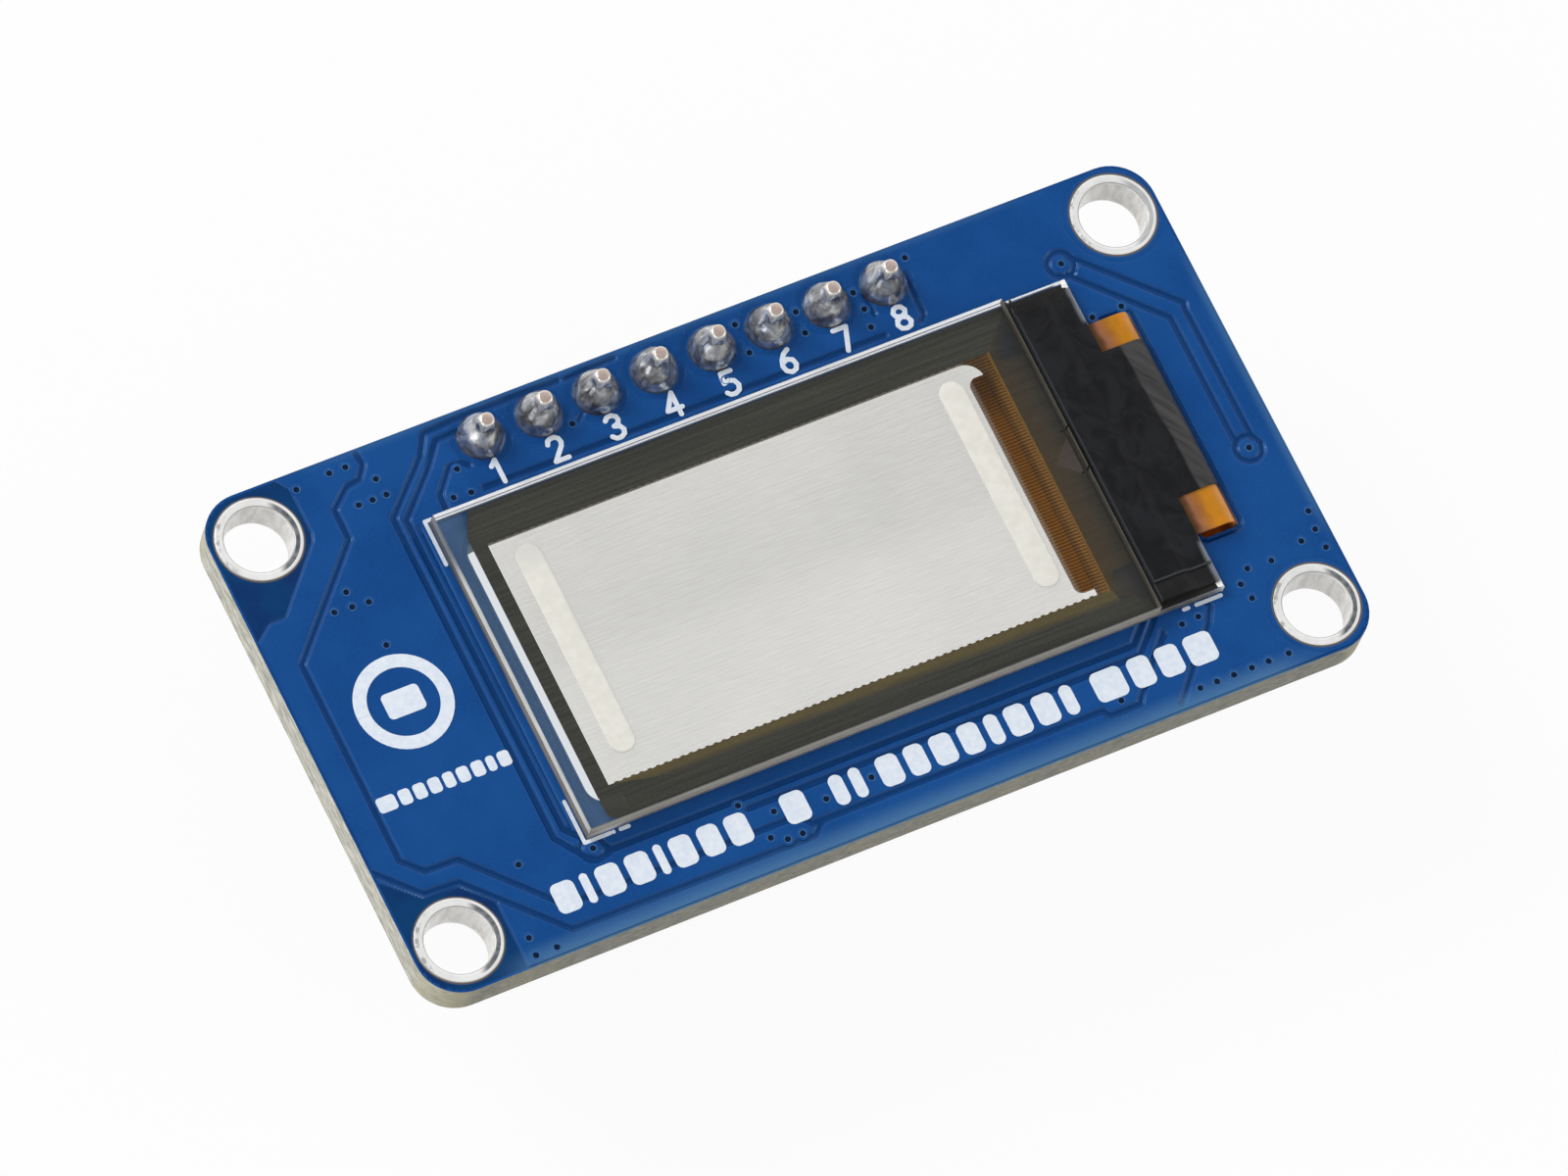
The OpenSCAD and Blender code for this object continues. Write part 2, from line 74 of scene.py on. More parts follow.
HALF_L, HALF_W, TOP = box_mm("circuit_board")[1]
PANEL_LOW, PANEL_HIGH = box_mm("back_glass")
COVER_LOW, COVER_HIGH = box_mm("cover_glass")
FILM_LOW, FILM_HIGH = box_mm("wiring_film")
PIXEL_LOW, PIXEL_HIGH = box_mm("pixel_layer")
TAPE_LOW, TAPE_HIGH = box_mm("black_tape")
SEALANT_LOW, SEALANT_HIGH = box_mm("ledge_sealant")
RING = box_mm("hole_plating_3")
HOLE_X, HOLE_Y = middle(RING, 0), middle(RING, 1)
RING_R, BORE = (RING[1][0] - RING[0][0]) / 2, 1.35
PIN_BOXES = [box_mm(f"header_pin_{i}") for i in range(1, 9)]
PIN_X = [middle(box, 0) for box in PIN_BOXES]
PIN_Y, PIN_TOP = middle(PIN_BOXES[0], 1), PIN_BOXES[0][1][2]
STRIP_TOP = box_mm("drying_strip_left")[1][1]
FLEX_MID = middle(box_mm("flex_cable"), 1)
# openings and the seal's plug, as (x0, x1, y0, y1) and (y0, y1)
WINDOW = (PANEL_LOW[0] + 0.85, COVER_HIGH[0] - 1.2, -6.0, 6.0)
SLOT = (PANEL_HIGH[0] + 0.3, TAPE_HIGH[0] + 0.04, -4.83, 5.03)
PLUG = (FLEX_MID - 1.0, FLEX_MID + 1.0)
SKIN = 0.045     # height of the mask over the copper, above the bare board
EDGE = 0.03      # the panes' ground edge
BOARD_CORNER, WINDOW_CORNER, SLOT_CORNER = 1.8, 0.8, 0.2
PIXEL_GRID, FLEX_RIB = 0.085, 0.07     # half pitches
WHITE_LIGHT = (1, 1, 1, 1)


# ---- nodes
def srgb(r, g, b, a=1.0):
    def lin(v):
        v /= 255
        return v / 12.92 if v <= 0.04045 else ((v + 0.055) / 1.055) ** 2.4

    return (lin(r), lin(g), lin(b), a)


class Tree:
    """A node tree, with short ways to add nodes to it."""

    def __init__(self, tree):
        self.tree = tree
        tree.nodes.clear()

    def put(self, kind, ins=None, **props):
        node = self.tree.nodes.new("ShaderNode" + kind)
        for key, value in props.items():
            setattr(node, key, value)
        for key, value in (ins or {}).items():
            if isinstance(value, bpy.types.NodeSocket):
                self.tree.links.new(value, node.inputs[key])
            else:
                node.inputs[key].default_value = value
        return node

    def math(self, op, a, b=0.0, c=0.0):
        return self.put("Math", {0: a, 1: b, 2: c}, operation=op).outputs[0]

    mul = partialmethod(math, "MULTIPLY")
    add = partialmethod(math, "ADD")
    sub = partialmethod(math, "SUBTRACT")
    most = partialmethod(math, "MAXIMUM")
    size = partialmethod(math, "ABSOLUTE")
    zigzag = partialmethod(math, "PINGPONG")     # up from 0 to the second number and back, over and over

    def step(self, value, low, high, to_low=0.0, to_high=1.0):
        ins = {"Value": value, "From Min": low, "From Max": high, "To Min": to_low, "To Max": to_high}
        return self.put("MapRange", ins, interpolation_type="SMOOTHSTEP").outputs[0]

    def span(self, value, low, high, soft=0.02):
        """1 between low and high, 0 outside."""
        above = self.step(value, low - soft, low + soft)
        return self.mul(above, self.step(value, high + soft, high - soft))


class Graph(Tree):
    """A material's nodes. Lengths are in millimetres of the model's own frame."""

    INPUTS = {"base": "Base Color", "rough": "Roughness", "metal": "Metallic", "spec": "Specular IOR Level",
              "spec_tint": "Specular Tint", "coat": "Coat Weight", "coat_rough": "Coat Roughness",
              "normal": "Normal"}

    def __init__(self, name):
        self.mat = bpy.data.materials.new(name)
        self.mat.use_nodes = True
        super().__init__(self.mat.node_tree)
        self.mm = self.scaled(self.put("TexCoord").outputs["Object"], 1 / MM)
        self.x, self.y, self.z = self.put("SeparateXYZ", {0: self.mm}).outputs

    def scaled(self, vector, factor):
        return self.put("VectorMath", {0: vector, "Scale": factor}, operation="SCALE").outputs[0]

    def mix(self, fac, a, b):
        return self.put("Mix", {0: fac, 6: a, 7: b}, data_type="RGBA").outputs[2]

    def blend(self, fac, a, b):
        return self.put("MixShader", {0: fac, 1: a, 2: b}).outputs[0]

    def mottle(self, tone, a, b, low=0.35, high=0.65):
        """Colour a where tone is low, b where it is high."""
        return self.mix(self.step(tone, low, high), srgb(*a), srgb(*b))

    def shade(self, colour, fac, low, high):
        """colour times a grey between low and high, as fac goes from 0 to 1."""
        return self.scaled(colour, self.step(fac, 0.3, 0.7, low, high))

    def noise(self, scale, detail=3.0, rough=0.6, stretch=None, distort=0.0, place=None):
        place = place or self.mm
        if stretch:
            place = self.put("VectorMath", {0: place, 1: stretch}, operation="MULTIPLY").outputs[0]
        ins = {"Vector": place, "Scale": scale, "Detail": detail, "Roughness": rough, "Distortion": distort}
        return self.put("TexNoise", ins).outputs["Fac"]

    def ramp(self, fac, stops):
        node = self.put("ValToRGB", {0: fac})
        marks = node.color_ramp.elements
        while len(marks) < len(stops):
            marks.new(0.5)
        for mark, (place, *colour) in zip(marks, stops):
            mark.position, mark.color = place, srgb(*colour)
        return node.outputs[0]

    def attribute(self, name, kind="Fac"):
        return self.put("Attribute", attribute_name=name).outputs[kind]

    def normal(self):
        """The parts of the surface normal, in the model's frame."""
        return self.put("SeparateXYZ", {0: self.put("NewGeometry").outputs["Normal"]}).outputs

    def side(self):
        """1 on upright faces, 0 on level ones."""
        return self.step(self.size(self.normal()[2]), 0.7, 0.4)

    def bump(self, height, strength, depth):
        return self.put("Bump", {"Height": height, "Strength": strength, "Distance": depth * MM}).outputs[0]

    def clear(self, tint):
        return self.put("BsdfTransparent", {"Color": tint}).outputs[0]

    def through(self, colour):
        return self.put("BsdfTranslucent", {"Color": colour}).outputs[0]

    def principled(self, **ins):
        return self.put("BsdfPrincipled", {self.INPUTS[k]: v for k, v in ins.items()}).outputs[0]

    def done(self, shader):
        self.put("OutputMaterial", {"Surface": shader})
        return self.mat

    def surface(self, **ins):
        return self.done(self.principled(**ins))


# ---- materials
def hole_reach(g):
    """Distance from the axis of the nearest mounting hole."""
    dx, dy = g.sub(g.size(g.x), HOLE_X), g.sub(g.size(g.y), HOLE_Y)
    return g.math("SQRT", g.add(g.mul(dx, dx), g.mul(dy, dy)))


def eyelet_material():
    """Bright tinned land, painted shade lines round each lip and the outer rim, a duller bore."""
    g = Graph("eyelet_metal")
    reach = hole_reach(g)
    tone = g.noise(1.1)
    land = g.mottle(tone, (246, 246, 245), (255, 255, 254))
    bore = g.mottle(g.noise(2.0, stretch=(1.6, 1.6, 0.4)), (208, 206, 202), (234, 232, 228))
    base = g.mix(g.step(reach, BORE + 0.02, BORE + 0.035), bore, land)
    # painted shade: a grey line round each lip, and a darker grey line at the land's outer rim
    base = g.mix(g.span(reach, BORE + 0.045, BORE + 0.075, 0.012), base, srgb(150, 149, 146))
    base = g.mix(g.step(reach, RING_R - 0.05, RING_R - 0.025), base, srgb(160, 157, 150))
    # painted shade: a dark crescent on the flex's side of each hole's land, fainter on one; and mottled grey
    # patches on the other side
    across = g.mul(g.sub(g.size(g.x), HOLE_X), g.math("SIGN", g.x))
    along = g.mul(g.sub(g.size(g.y), HOLE_Y), g.math("SIGN", g.y))
    rightward = g.sub(g.mul(across, 0.97), g.mul(along, 0.25))
    upper_right = g.mul(g.step(g.x, -1.0, 1.0), g.step(g.y, -1.0, 1.0))
    toward = g.mul(g.step(rightward, 0.5, 0.95), g.sub(1.0, g.mul(upper_right, 0.5)))
    crescent_shade = g.mottle(g.noise(3.0), (94, 98, 103), (138, 141, 144))
    base = g.mix(g.mul(g.span(reach, BORE + 0.08, BORE + 0.27, 0.018), toward), base, crescent_shade)
    grey_patches = g.mul(g.step(rightward, -0.9, -1.4), g.step(g.noise(2.4, 3, 0.65), 0.45, 0.6))
    base = g.mix(g.mul(grey_patches, g.step(reach, BORE + 0.2, BORE + 0.26)), base, srgb(188, 188, 186))
    groove = g.span(reach, BORE + 0.06, BORE + 0.29, 0.03)
    normal = g.bump(g.sub(g.mul(g.noise(2.6), 0.12), groove), 0.45, 0.02)
    return g.surface(base=base, metal=0.15, rough=g.step(tone, 0.3, 0.7, 0.14, 0.28), normal=normal)


def board_material():
    """Blue mask over copper, and the board's cut edges."""
    g = Graph("solder_mask")
    ax, ay = g.size(g.x), g.size(g.y)
    copper = g.step(g.attribute("groove"), 0.62, 0.38)
    cloud = g.noise(0.35, 3, 0.5)
    face = g.mottle(cloud, (16, 73, 142), (21, 79, 149))
    wide_gap = g.mottle(cloud, (4, 60, 112), (10, 48, 104), 0.4, 0.6)
    gap = g.mix(g.attribute("open_area"), srgb(3, 55, 114), wide_gap)
    colour = g.shade(g.mix(copper, gap, face), g.noise(9), 0.94, 1.06)
    # painted sheen: lighter along three of the board's rims, where the mask thins out and catches light
    end_rim = g.mul(g.step(g.x, HALF_L - 0.5, HALF_L), g.step(ay, 7.5, 4.5))
    near_rim = g.mul(g.step(ax, 18.6, 15.5), g.step(g.y, 1.0 - HALF_W, -HALF_W, 0, 1.5))
    far_rim = g.mul(g.step(ax, 18.0, 13.0), g.step(g.y, HALF_W - 0.4, HALF_W, 0, 0.6))
    sheen = g.most(g.most(end_rim, near_rim), far_rim)
    colour = g.mix(g.mul(sheen, 0.4), colour, srgb(92, 138, 176))
    # bare ring between the mask and each tinned eyelet
    colour = g.mix(g.step(hole_reach(g), RING_R + 0.07, RING_R + 0.03), colour, srgb(104, 97, 92))
    # cut edge: glass cloth in resin, in layers
    layers = g.noise(1.0, 4, 0.65, (1.7, 1.7, 5.5))
    edge = g.ramp(layers, [(0.3, 124, 121, 106), (0.47, 143, 140, 126), (0.6, 158, 155, 141),
                           (0.75, 184, 182, 172)])
    edge = g.mix(g.step(g.noise(0.5), 0.48, 0.66, 0, 0.3), edge, srgb(176, 164, 136))
    edge = g.shade(edge, g.noise(4.5, 3, 0.65, (1.0, 1.0, 1.6)), 0.86, 1.1)
    facing = g.normal()
    # painted shade: the cut edge is darker on its faces toward -y
    edge = g.shade(edge, g.step(facing[1], -0.3, -0.8), 1.0, 0.9)
    # painted light: the faces toward -x are paler, in fibre streaks
    lit_fibres = g.step(g.noise(3.2, 3, 0.7, (1.0, 0.45, 2.6)), 0.4, 0.62, 0.2, 0.9)
    edge = g.mix(g.mul(g.step(facing[0], -0.3, -0.8), lit_fibres), edge, srgb(218, 215, 202))
    corner = g.mul(g.step(ax, HALF_L - 1.9, HALF_L - 1.2), g.step(ay, HALF_W - 1.9, HALF_W - 1.2))
    edge = g.mix(g.mul(corner, 0.55), edge, srgb(186, 180, 148))
    # the window's walls, ribbed on the flex's side
    inside = g.mul(g.step(ay, 6.4, 6.2), g.step(ax, 13.0, 12.5))
    ribs = g.zigzag(g.add(g.y, g.mul(g.z, 0.33)), FLEX_RIB)
    ribs = g.mottle(ribs, (98, 64, 14), (172, 120, 26), 0.018, 0.05)
    edge = g.mix(inside, edge, g.mix(g.step(g.x, 9.0, 11.0), srgb(112, 104, 86), ribs))
    side = g.side()
    peel = g.bump(g.add(copper, g.mul(g.noise(2.2, 2, 0.5), 0.09)), 1.0, 0.05)
    return g.surface(base=g.mix(side, colour, edge), rough=g.step(side, 0, 1, 0.24, 0.8), spec=0.55,
                     spec_tint=(0.42, 0.68, 1.0, 1), normal=peel)


def tin_material():
    g = Graph("tinned_metal")
    tone = g.noise(1.3)
    base = g.mottle(tone, (222, 222, 219), (250, 250, 248), 0.35, 0.68)
    marks = g.bump(g.noise(2.86), 0.14, 0.02)
    return g.surface(base=base, metal=0.55, rough=g.step(tone, 0.3, 0.7, 0.15, 0.26), normal=marks)


def solder_material():
    g = Graph("solder")
    tone = g.noise(1.5, 2.5, 0.55, distort=0.9)
    base = g.ramp(tone, [(0.32, 92, 92, 94), (0.45, 132, 133, 136), (0.56, 172, 173, 176), (0.68, 222, 222, 221)])
    # painted reflection: bluish patches where the blue board would show in the solder
    blue_reflection = g.noise(1.3, 2, 0.5, (1.0, 1.0, 0.6), 0.4)
    base = g.mix(g.step(blue_reflection, 0.52, 0.64, 0, 0.45), base, srgb(116, 134, 168))
    foot = g.step(g.sub(g.z, TOP), 0.2, 0.05)
    base = g.mix(g.mul(foot, 0.8), base, srgb(112, 92, 72))
    streak = g.noise(5.0, stretch=(1.2, 1.2, 0.35))
    normal = g.bump(g.noise(1.6, 2, 0.5), 0.5, 0.09)
    return g.surface(base=base, metal=0.75, rough=g.step(streak, 0.35, 0.65, 0.13, 0.26), normal=normal)


def pin_material():
    """Plated pin, coppery where its top end is cut."""
    g = Graph("pin_metal")
    tone = g.noise(4, stretch=(1, 1, 0.22))
    base = g.mottle(tone, (222, 218, 207), (238, 236, 229))
    cut = g.mul(g.step(g.z, PIN_TOP - 0.06, PIN_TOP - 0.02), g.step(g.normal()[2], 0.9, 0.97))
    copper = g.mix(g.noise(7, 2, 0.5), srgb(222, 196, 186), srgb(240, 222, 214))
    normal = g.bump(g.noise(3, 2, 0.5, (1, 1, 0.3)), 0.1, 0.01)
    return g.surface(base=g.mix(cut, base, copper), metal=0.6, rough=g.step(tone, 0.3, 0.7, 0.24, 0.32),
                     normal=normal)


def plain_material(name, low, high, rough, spec, scale, bump=0.1):
    g = Graph(name)
    base = g.mottle(g.noise(scale), low, high)
    return g.surface(base=base, rough=rough, spec=spec, normal=g.bump(g.noise(scale * 3), bump, 0.02))


def glass_material(name, node, wall_light, glint=0.0, haze=0.0):
    """Clear on its level faces; each ground wall has its own grey, painted light and shade for how light falls on
    that side: (-x, +x, -y, +y).
    """
    low, high = box_mm(node)
    g = Graph(name)
    nx, ny, _ = g.normal()
    ax, ay = g.size(nx), g.size(ny)
    grazing = g.math("POWER", g.put("LayerWeight", {"Blend": 0.5}).outputs["Facing"], 5.0)
    facing = g.mul(g.add(0.04, g.mul(grazing, 0.96)), g.step(g.z, high[2] - 0.06, high[2] - 0.03))
    gloss = g.principled(base=(0.9, 0.92, 0.92, 1), metal=1.0, rough=0.03)
    glass = g.blend(facing, g.clear((0.98, 0.98, 0.975, 1)), gloss)
    if haze:
        milk = g.principled(base=srgb(160, 202, 240), rough=0.6, spec=0.2)
        left_end = g.step(g.x, WINDOW[0] + 0.75, WINDOW[0] + 0.35, 0.0, haze)
        glass = g.blend(g.mul(left_end, g.step(g.z, low[2] + 0.06, low[2] + 0.03)), glass, milk)
    left, front = g.step(g.x, 0.5, -0.5), g.step(g.y, 0.5, -0.5)
    on_x = g.step(ax, 0.4, 0.6)
    wall_x = g.mix(left, srgb(*wall_light[1]), srgb(*wall_light[0]))
    plug_ends = g.add(g.span(g.y, PLUG[0], PLUG[0] + 0.1, 0.01), g.span(g.y, PLUG[1] - 0.1, PLUG[1], 0.01))
    wall_x = g.mix(g.mul(plug_ends, g.step(g.x, 12.0, 12.5)), wall_x, srgb(24, 20, 15))
    wall_y = g.mix(front, srgb(*wall_light[3]), srgb(*wall_light[2]))
    colour = g.shade(g.mix(on_x, wall_y, wall_x), g.noise(2.0, 3, 0.65, (0.35, 0.35, 6.0)), 0.84, 1.15)
    colour = g.shade(colour, g.noise(6.0, stretch=(0.5, 0.5, 3.0)), 0.96, 1.03)
    lower = g.mul(g.step(g.z, low[2] + 0.2, low[2] + 0.14), g.sub(1.0, front))
    colour = g.mix(g.mul(lower, glint), colour, srgb(104, 106, 106))
    # painted reflection of the blue board: the -x walls turn blue-grey towards +y
    colour = g.mix(g.mul(g.mul(left, on_x), g.step(g.y, 3.8, 5.6, 0, 0.75)), colour, srgb(62, 78, 98))
    # painted glints: near-white at the +x end's corners, where glint is set
    at_end = g.step(g.x, high[0] - 0.5, high[0] - 0.3)
    at_corner = g.mul(at_end, g.step(g.size(g.y), high[1] - 0.45, high[1] - 0.25))
    shining = g.mul(at_corner, glint)
    colour = g.mix(shining, colour, srgb(250, 250, 246))
    far_side = g.most(g.sub(1.0, g.most(front, on_x)), shining)
    ground = g.principled(base=colour, rough=0.35, spec=0.5)
    ground = g.blend(g.step(far_side, 0, 1, 0.7, 0.97), ground, g.through(colour))
    outer = []
    for place, axis in ((g.x, 0), (g.y, 1)):
        centre = (low[axis] + high[axis]) / 2
        half = high[axis] - centre
        outer.append(g.step(g.size(g.sub(place, centre)), half - 0.08, half - 0.04))
    wall = g.mul(g.step(g.most(ax, ay), 0.5, 0.8), g.most(*outer))
    return g.done(g.blend(wall, glass, ground))


def film_material():
    g = Graph("metal_film")
    lines = g.noise(1.0, stretch=(0.15, 9.0, 1.0))
    base = g.shade(g.mottle(lines, (54, 55, 49), (67, 68, 61)), g.noise(8.0), 0.88, 1.12)
    return g.surface(base=base, rough=0.5, spec=0.2, normal=g.bump(lines, 0.15, 0.01))


def paint_material():
    """Tones over the film: each face carries its own colour."""
    g = Graph("film_paint")
    base = g.shade(g.attribute("tint", "Color"), g.noise(1.0, stretch=(0.3, 5.0, 1.0)), 0.9, 1.1)
    return g.surface(base=g.shade(base, g.noise(9.0, 2), 0.92, 1.08), rough=0.45, spec=0.35)


def pixel_material():
    """See-through field with a fine grid, hazier beside the tail of the flex."""
    g = Graph("pixel_field")
    grid = g.add(g.mul(g.zigzag(g.y, PIXEL_GRID), 0.7), g.mul(g.zigzag(g.x, PIXEL_GRID), 0.3))
    cloud = g.step(g.noise(0.16, 2, 0.5), 0.35, 0.65)
    pale = g.mix(cloud, (0.743, 0.739, 0.729, 1), (0.781, 0.772, 0.758, 1))
    # painted light: the field is darker towards +x and lighter towards -y, as the light behind it falls
    pale = g.shade(pale, g.step(g.x, -1.0, 9.0), 1.0, 0.965)
    pale = g.shade(pale, g.step(g.y, 3.5, -4.5), 0.97, 1.06)
    pale = g.shade(pale, g.step(grid, 0.02, 0.07), 0.985, 1.01)
    pale = g.shade(pale, g.noise(2.4, stretch=(0.35, 3.0, 1.0)), 0.975, 1.02)
    haze = g.principled(base=srgb(206, 204, 196), rough=0.5, spec=0.3)
    share = g.step(g.x, PIXEL_HIGH[0] - 0.75, PIXEL_HIGH[0] - 0.9, 0.015, 0.16)
    return g.done(g.blend(share, g.clear(pale), haze))


def adhesive_material():
    g = Graph("adhesive")
    cloud = g.step(g.noise(1.6), 0.3, 0.7, 0.06, 0.192)
    body = g.principled(base=srgb(214, 214, 204), rough=0.4, spec=0.4)
    return g.done(g.blend(cloud, g.clear((0.97, 0.97, 0.95, 1)), body))


def flex_material():
    """Amber film: brown, a pink painted reflection, then golden over its fold with a pale painted highlight on
    the crest; brown and ribbed on its tail, in painted light where the window shows it.
    """
    g = Graph("flex_film")
    run = g.put("MapRange", {"Value": g.x, "From Min": 13.8, "From Max": 17.8}).outputs[0]
    run = g.add(run, g.mul(g.sub(g.noise(1.4, 2, 0.5), 0.5), 0.1))
    # painted light over the fold: a pink painted reflection by the tape, golden, then a pale painted highlight on
    # the crest
    top = g.ramp(run, [(0.40, 82, 52, 24), (0.47, 106, 68, 32), (0.53, 176, 116, 84), (0.60, 198, 128, 46),
                       (0.68, 222, 148, 20), (0.80, 222, 146, 26), (0.86, 244, 180, 104), (0.92, 214, 132, 34)])
    top = g.shade(top, g.noise(0.9, 3, 0.6, (1, 0.6, 1), 0.8), 0.86, 1.12)
    stripe = g.zigzag(g.y, FLEX_RIB)
    tail = g.mottle(stripe, (122, 77, 27), (152, 97, 34), 0.015, 0.045)
    tail = g.shade(tail, g.noise(0.8, stretch=(0.4, 1.4, 1)), 0.72, 1.22)
    # painted light: the tail's top is a brighter gold where the window shows it
    shown = g.mul(g.step(g.z, -0.09, -0.06), g.step(g.x, 12.0, 11.6))
    tail = g.mix(shown, tail, g.mottle(stripe, (164, 105, 20), (238, 167, 41), 0.018, 0.05))
    below = g.mul(g.step(g.z, 0.4, 0.1), g.step(g.x, 16.6, 16.2))
    colour = g.mix(below, top, tail)
    normal = g.bump(g.add(g.noise(1.1, 3, 0.55), g.mul(stripe, 1.2)), 0.25, 0.03)
    body = g.principled(base=colour, rough=0.28, spec=0.5, normal=normal, coat=0.35, coat_rough=0.15)
    return g.done(g.blend(0.25, body, g.through(colour)))


def ledge_end_highlight(g):
    """Painted highlight: pale along the outer edge of the panel's ledge, where the glass's end catches light."""
    end = PANEL_HIGH[0]
    wave = g.add(g.x, g.mul(g.sub(g.noise(0.8, 2, 0.5), 0.5), 0.12))
    outer = g.mul(g.step(wave, end - 0.34, end - 0.08), g.step(wave, end + 0.02, end - 0.02))
    return g.mul(g.mul(outer, g.step(g.size(g.y), 4.95, 5.25)), 0.75)


def tape_material():
    """Matt black on the ledge, greyer and streaked where the tongue goes over the fold."""
    g = Graph("black_tape")
    wrinkle = g.noise(0.8, 4, 0.6, (1.0, 0.8, 1.0), 1.2)
    fine = g.noise(14.0, 2)
    slanted = g.put("VectorRotate", {"Vector": g.mm, "Angle": 0.95}, rotation_type="Z_AXIS").outputs[0]
    streak = g.noise(0.9, 3, 0.55, (0.28, 2.6, 1.0), place=slanted)
    limit = g.add(g.add(16.3, g.mul(g.y, -0.04)), g.mul(g.noise(0.5, 2, 0.5), 0.25))
    on_bend = g.step(g.sub(g.x, limit), -0.08, 0.08)
    pad = g.shade(g.mottle(wrinkle, (15, 16, 20), (30, 31, 35)), fine, 0.9, 1.1)
    bend = g.mottle(streak, (52, 52, 53), (76, 75, 75), 0.34, 0.66)
    # painted highlight along the ledge's outer edge
    colour = g.mix(ledge_end_highlight(g), g.mix(on_bend, pad, bend), srgb(142, 148, 158))
    # painted light: the tape's cut edges are lighter grey than their shade
    upper = g.step(g.z, 2.0, 2.05)
    cut_x = g.mul(g.step(g.x, TAPE_LOW[0] + 0.08, TAPE_LOW[0] + 0.02), upper)
    cut_y = g.mul(g.step(g.y, TAPE_LOW[1] + 0.1, TAPE_LOW[1] + 0.05), upper)
    colour = g.mix(g.most(cut_x, cut_y), colour, srgb(60, 62, 66))
    normal = g.bump(g.add(wrinkle, g.mul(fine, 0.1)), 0.35, 0.05)
    return g.surface(base=colour, rough=g.step(on_bend, 0, 1, 0.62, 0.4), spec=0.2, normal=normal)


def chip_material(node, body_low, body_high, lid=None):
    """A chip part: tinned end caps, and a body that may have a darker lid."""
    low, high = box_mm(node)
    along = 0 if high[0] - low[0] > high[1] - low[1] else 1
    centre = (low[along] + high[along]) / 2
    half = (high[along] - low[along]) / 2
    g = Graph(node)
    ends = g.step(g.size(g.sub((g.x, g.y)[along], centre)), half - 0.33, half - 0.29)
    speck = g.noise(7)
    body = g.mottle(speck, body_low, body_high)
    if lid:
        body = g.mix(g.step(g.z, low[2] + 0.08, low[2] + 0.04), body, srgb(*lid))
    colour = g.mix(ends, body, g.mottle(speck, (176, 176, 176), (222, 222, 220), 0.3, 0.7))
    normal = g.bump(g.noise(5, 3, 0.5), 0.2, 0.03)
    return g.surface(base=colour, rough=g.step(ends, 0, 1, 0.5, 0.28), metal=ends, normal=normal)


def resin_material():
    """Black sealant, with a painted highlight where it ends on the ledge's outer edge, and painted light on its
    edge by the tape.
    """
    g = Graph("black_resin")
    base = g.mottle(g.noise(1.5), (30, 30, 31), (38, 38, 40))
    base = g.mix(ledge_end_highlight(g), base, srgb(142, 148, 158))
    # painted light: lighter grey on the cut edge by the tape's start, over its shade
    base = g.mix(g.step(g.x, TAPE_LOW[0] + 0.04, TAPE_LOW[0] + 0.01), base, srgb(84, 86, 90))
    return g.surface(base=base, rough=0.55, spec=0.15, normal=g.bump(g.noise(4.5), 0.12, 0.02))


def seal_material():
    """Glue between the panes, nearly black in the plug that closes its fill port."""
    g = Graph("edge_seal")
    base = g.mottle(g.noise(3), (92, 90, 85), (120, 118, 111))
    base = g.mix(g.step(g.x, COVER_HIGH[0] + 0.002, COVER_HIGH[0] + 0.006), base, srgb(26, 22, 17))
    return g.surface(base=base, rough=0.4, spec=0.4, normal=g.bump(g.noise(9), 0.1, 0.02))


def strip_material():
    """Milky desiccant; the left strip thins out at its upper end."""
    g = Graph("drying_strip")
    base = g.mottle(g.noise(2.5), (244, 242, 233), (251, 249, 241))
    thin = g.mul(g.step(g.y, STRIP_TOP - 1.5, STRIP_TOP - 0.2), g.step(g.x, 0.5, -0.5))
    base = g.mix(thin, base, srgb(234, 233, 228))
    return g.surface(base=base, rough=0.7, spec=0.2, normal=g.bump(g.noise(7.5), 0.1, 0.02))


def ink_material():
    g = Graph("white_ink")
    base = g.mottle(g.noise(4), (222, 233, 247), (236, 243, 252), 0.3, 0.7)
    return g.surface(base=base, rough=0.55, spec=0.3, normal=g.bump(g.noise(9, 3, 0.5), 0.3, 0.02))


MASK = board_material()
TIN = tin_material()
EYELET = eyelet_material()
SOLDER = solder_material()
PIN = pin_material()
ADHESIVE = adhesive_material()
FILM = film_material()
PAINT = paint_material()
PIXELS = pixel_material()
SEAL = seal_material()
STRIP = strip_material()
RESIN = resin_material()
FLEX = flex_material()
TAPE = tape_material()
INK = ink_material()
# painted light and shade: each pane's four walls get their own grey for how light falls on that side
BACK_GLASS = glass_material("back_glass", "back_glass", ((156, 148, 138), (226, 228, 228), (196, 193, 186),
                                                         (254, 254, 252)), 1.0, 0.24)
COVER_GLASS = glass_material("cover_glass", "cover_glass", ((246, 244, 240), (112, 108, 98), (168, 164, 154),
                                                            (254, 254, 252)))
BLACK = plain_material("black_moulding", (22, 22, 23), (32, 32, 33), 0.45, 0.4, 6, 0.25)
SILICON = plain_material("silicon", (58, 58, 66), (72, 72, 82), 0.2, 0.6, 2)
# painted highlight: the lighter blue on each via's lip
LIP_HIGHLIGHT = plain_material("via_lip_highlight", (34, 88, 150), (62, 114, 168), 0.3, 0.5, 6)
HOLE_DARK = plain_material("via_dark", (2, 20, 44), (4, 30, 62), 0.6, 0.12, 8)


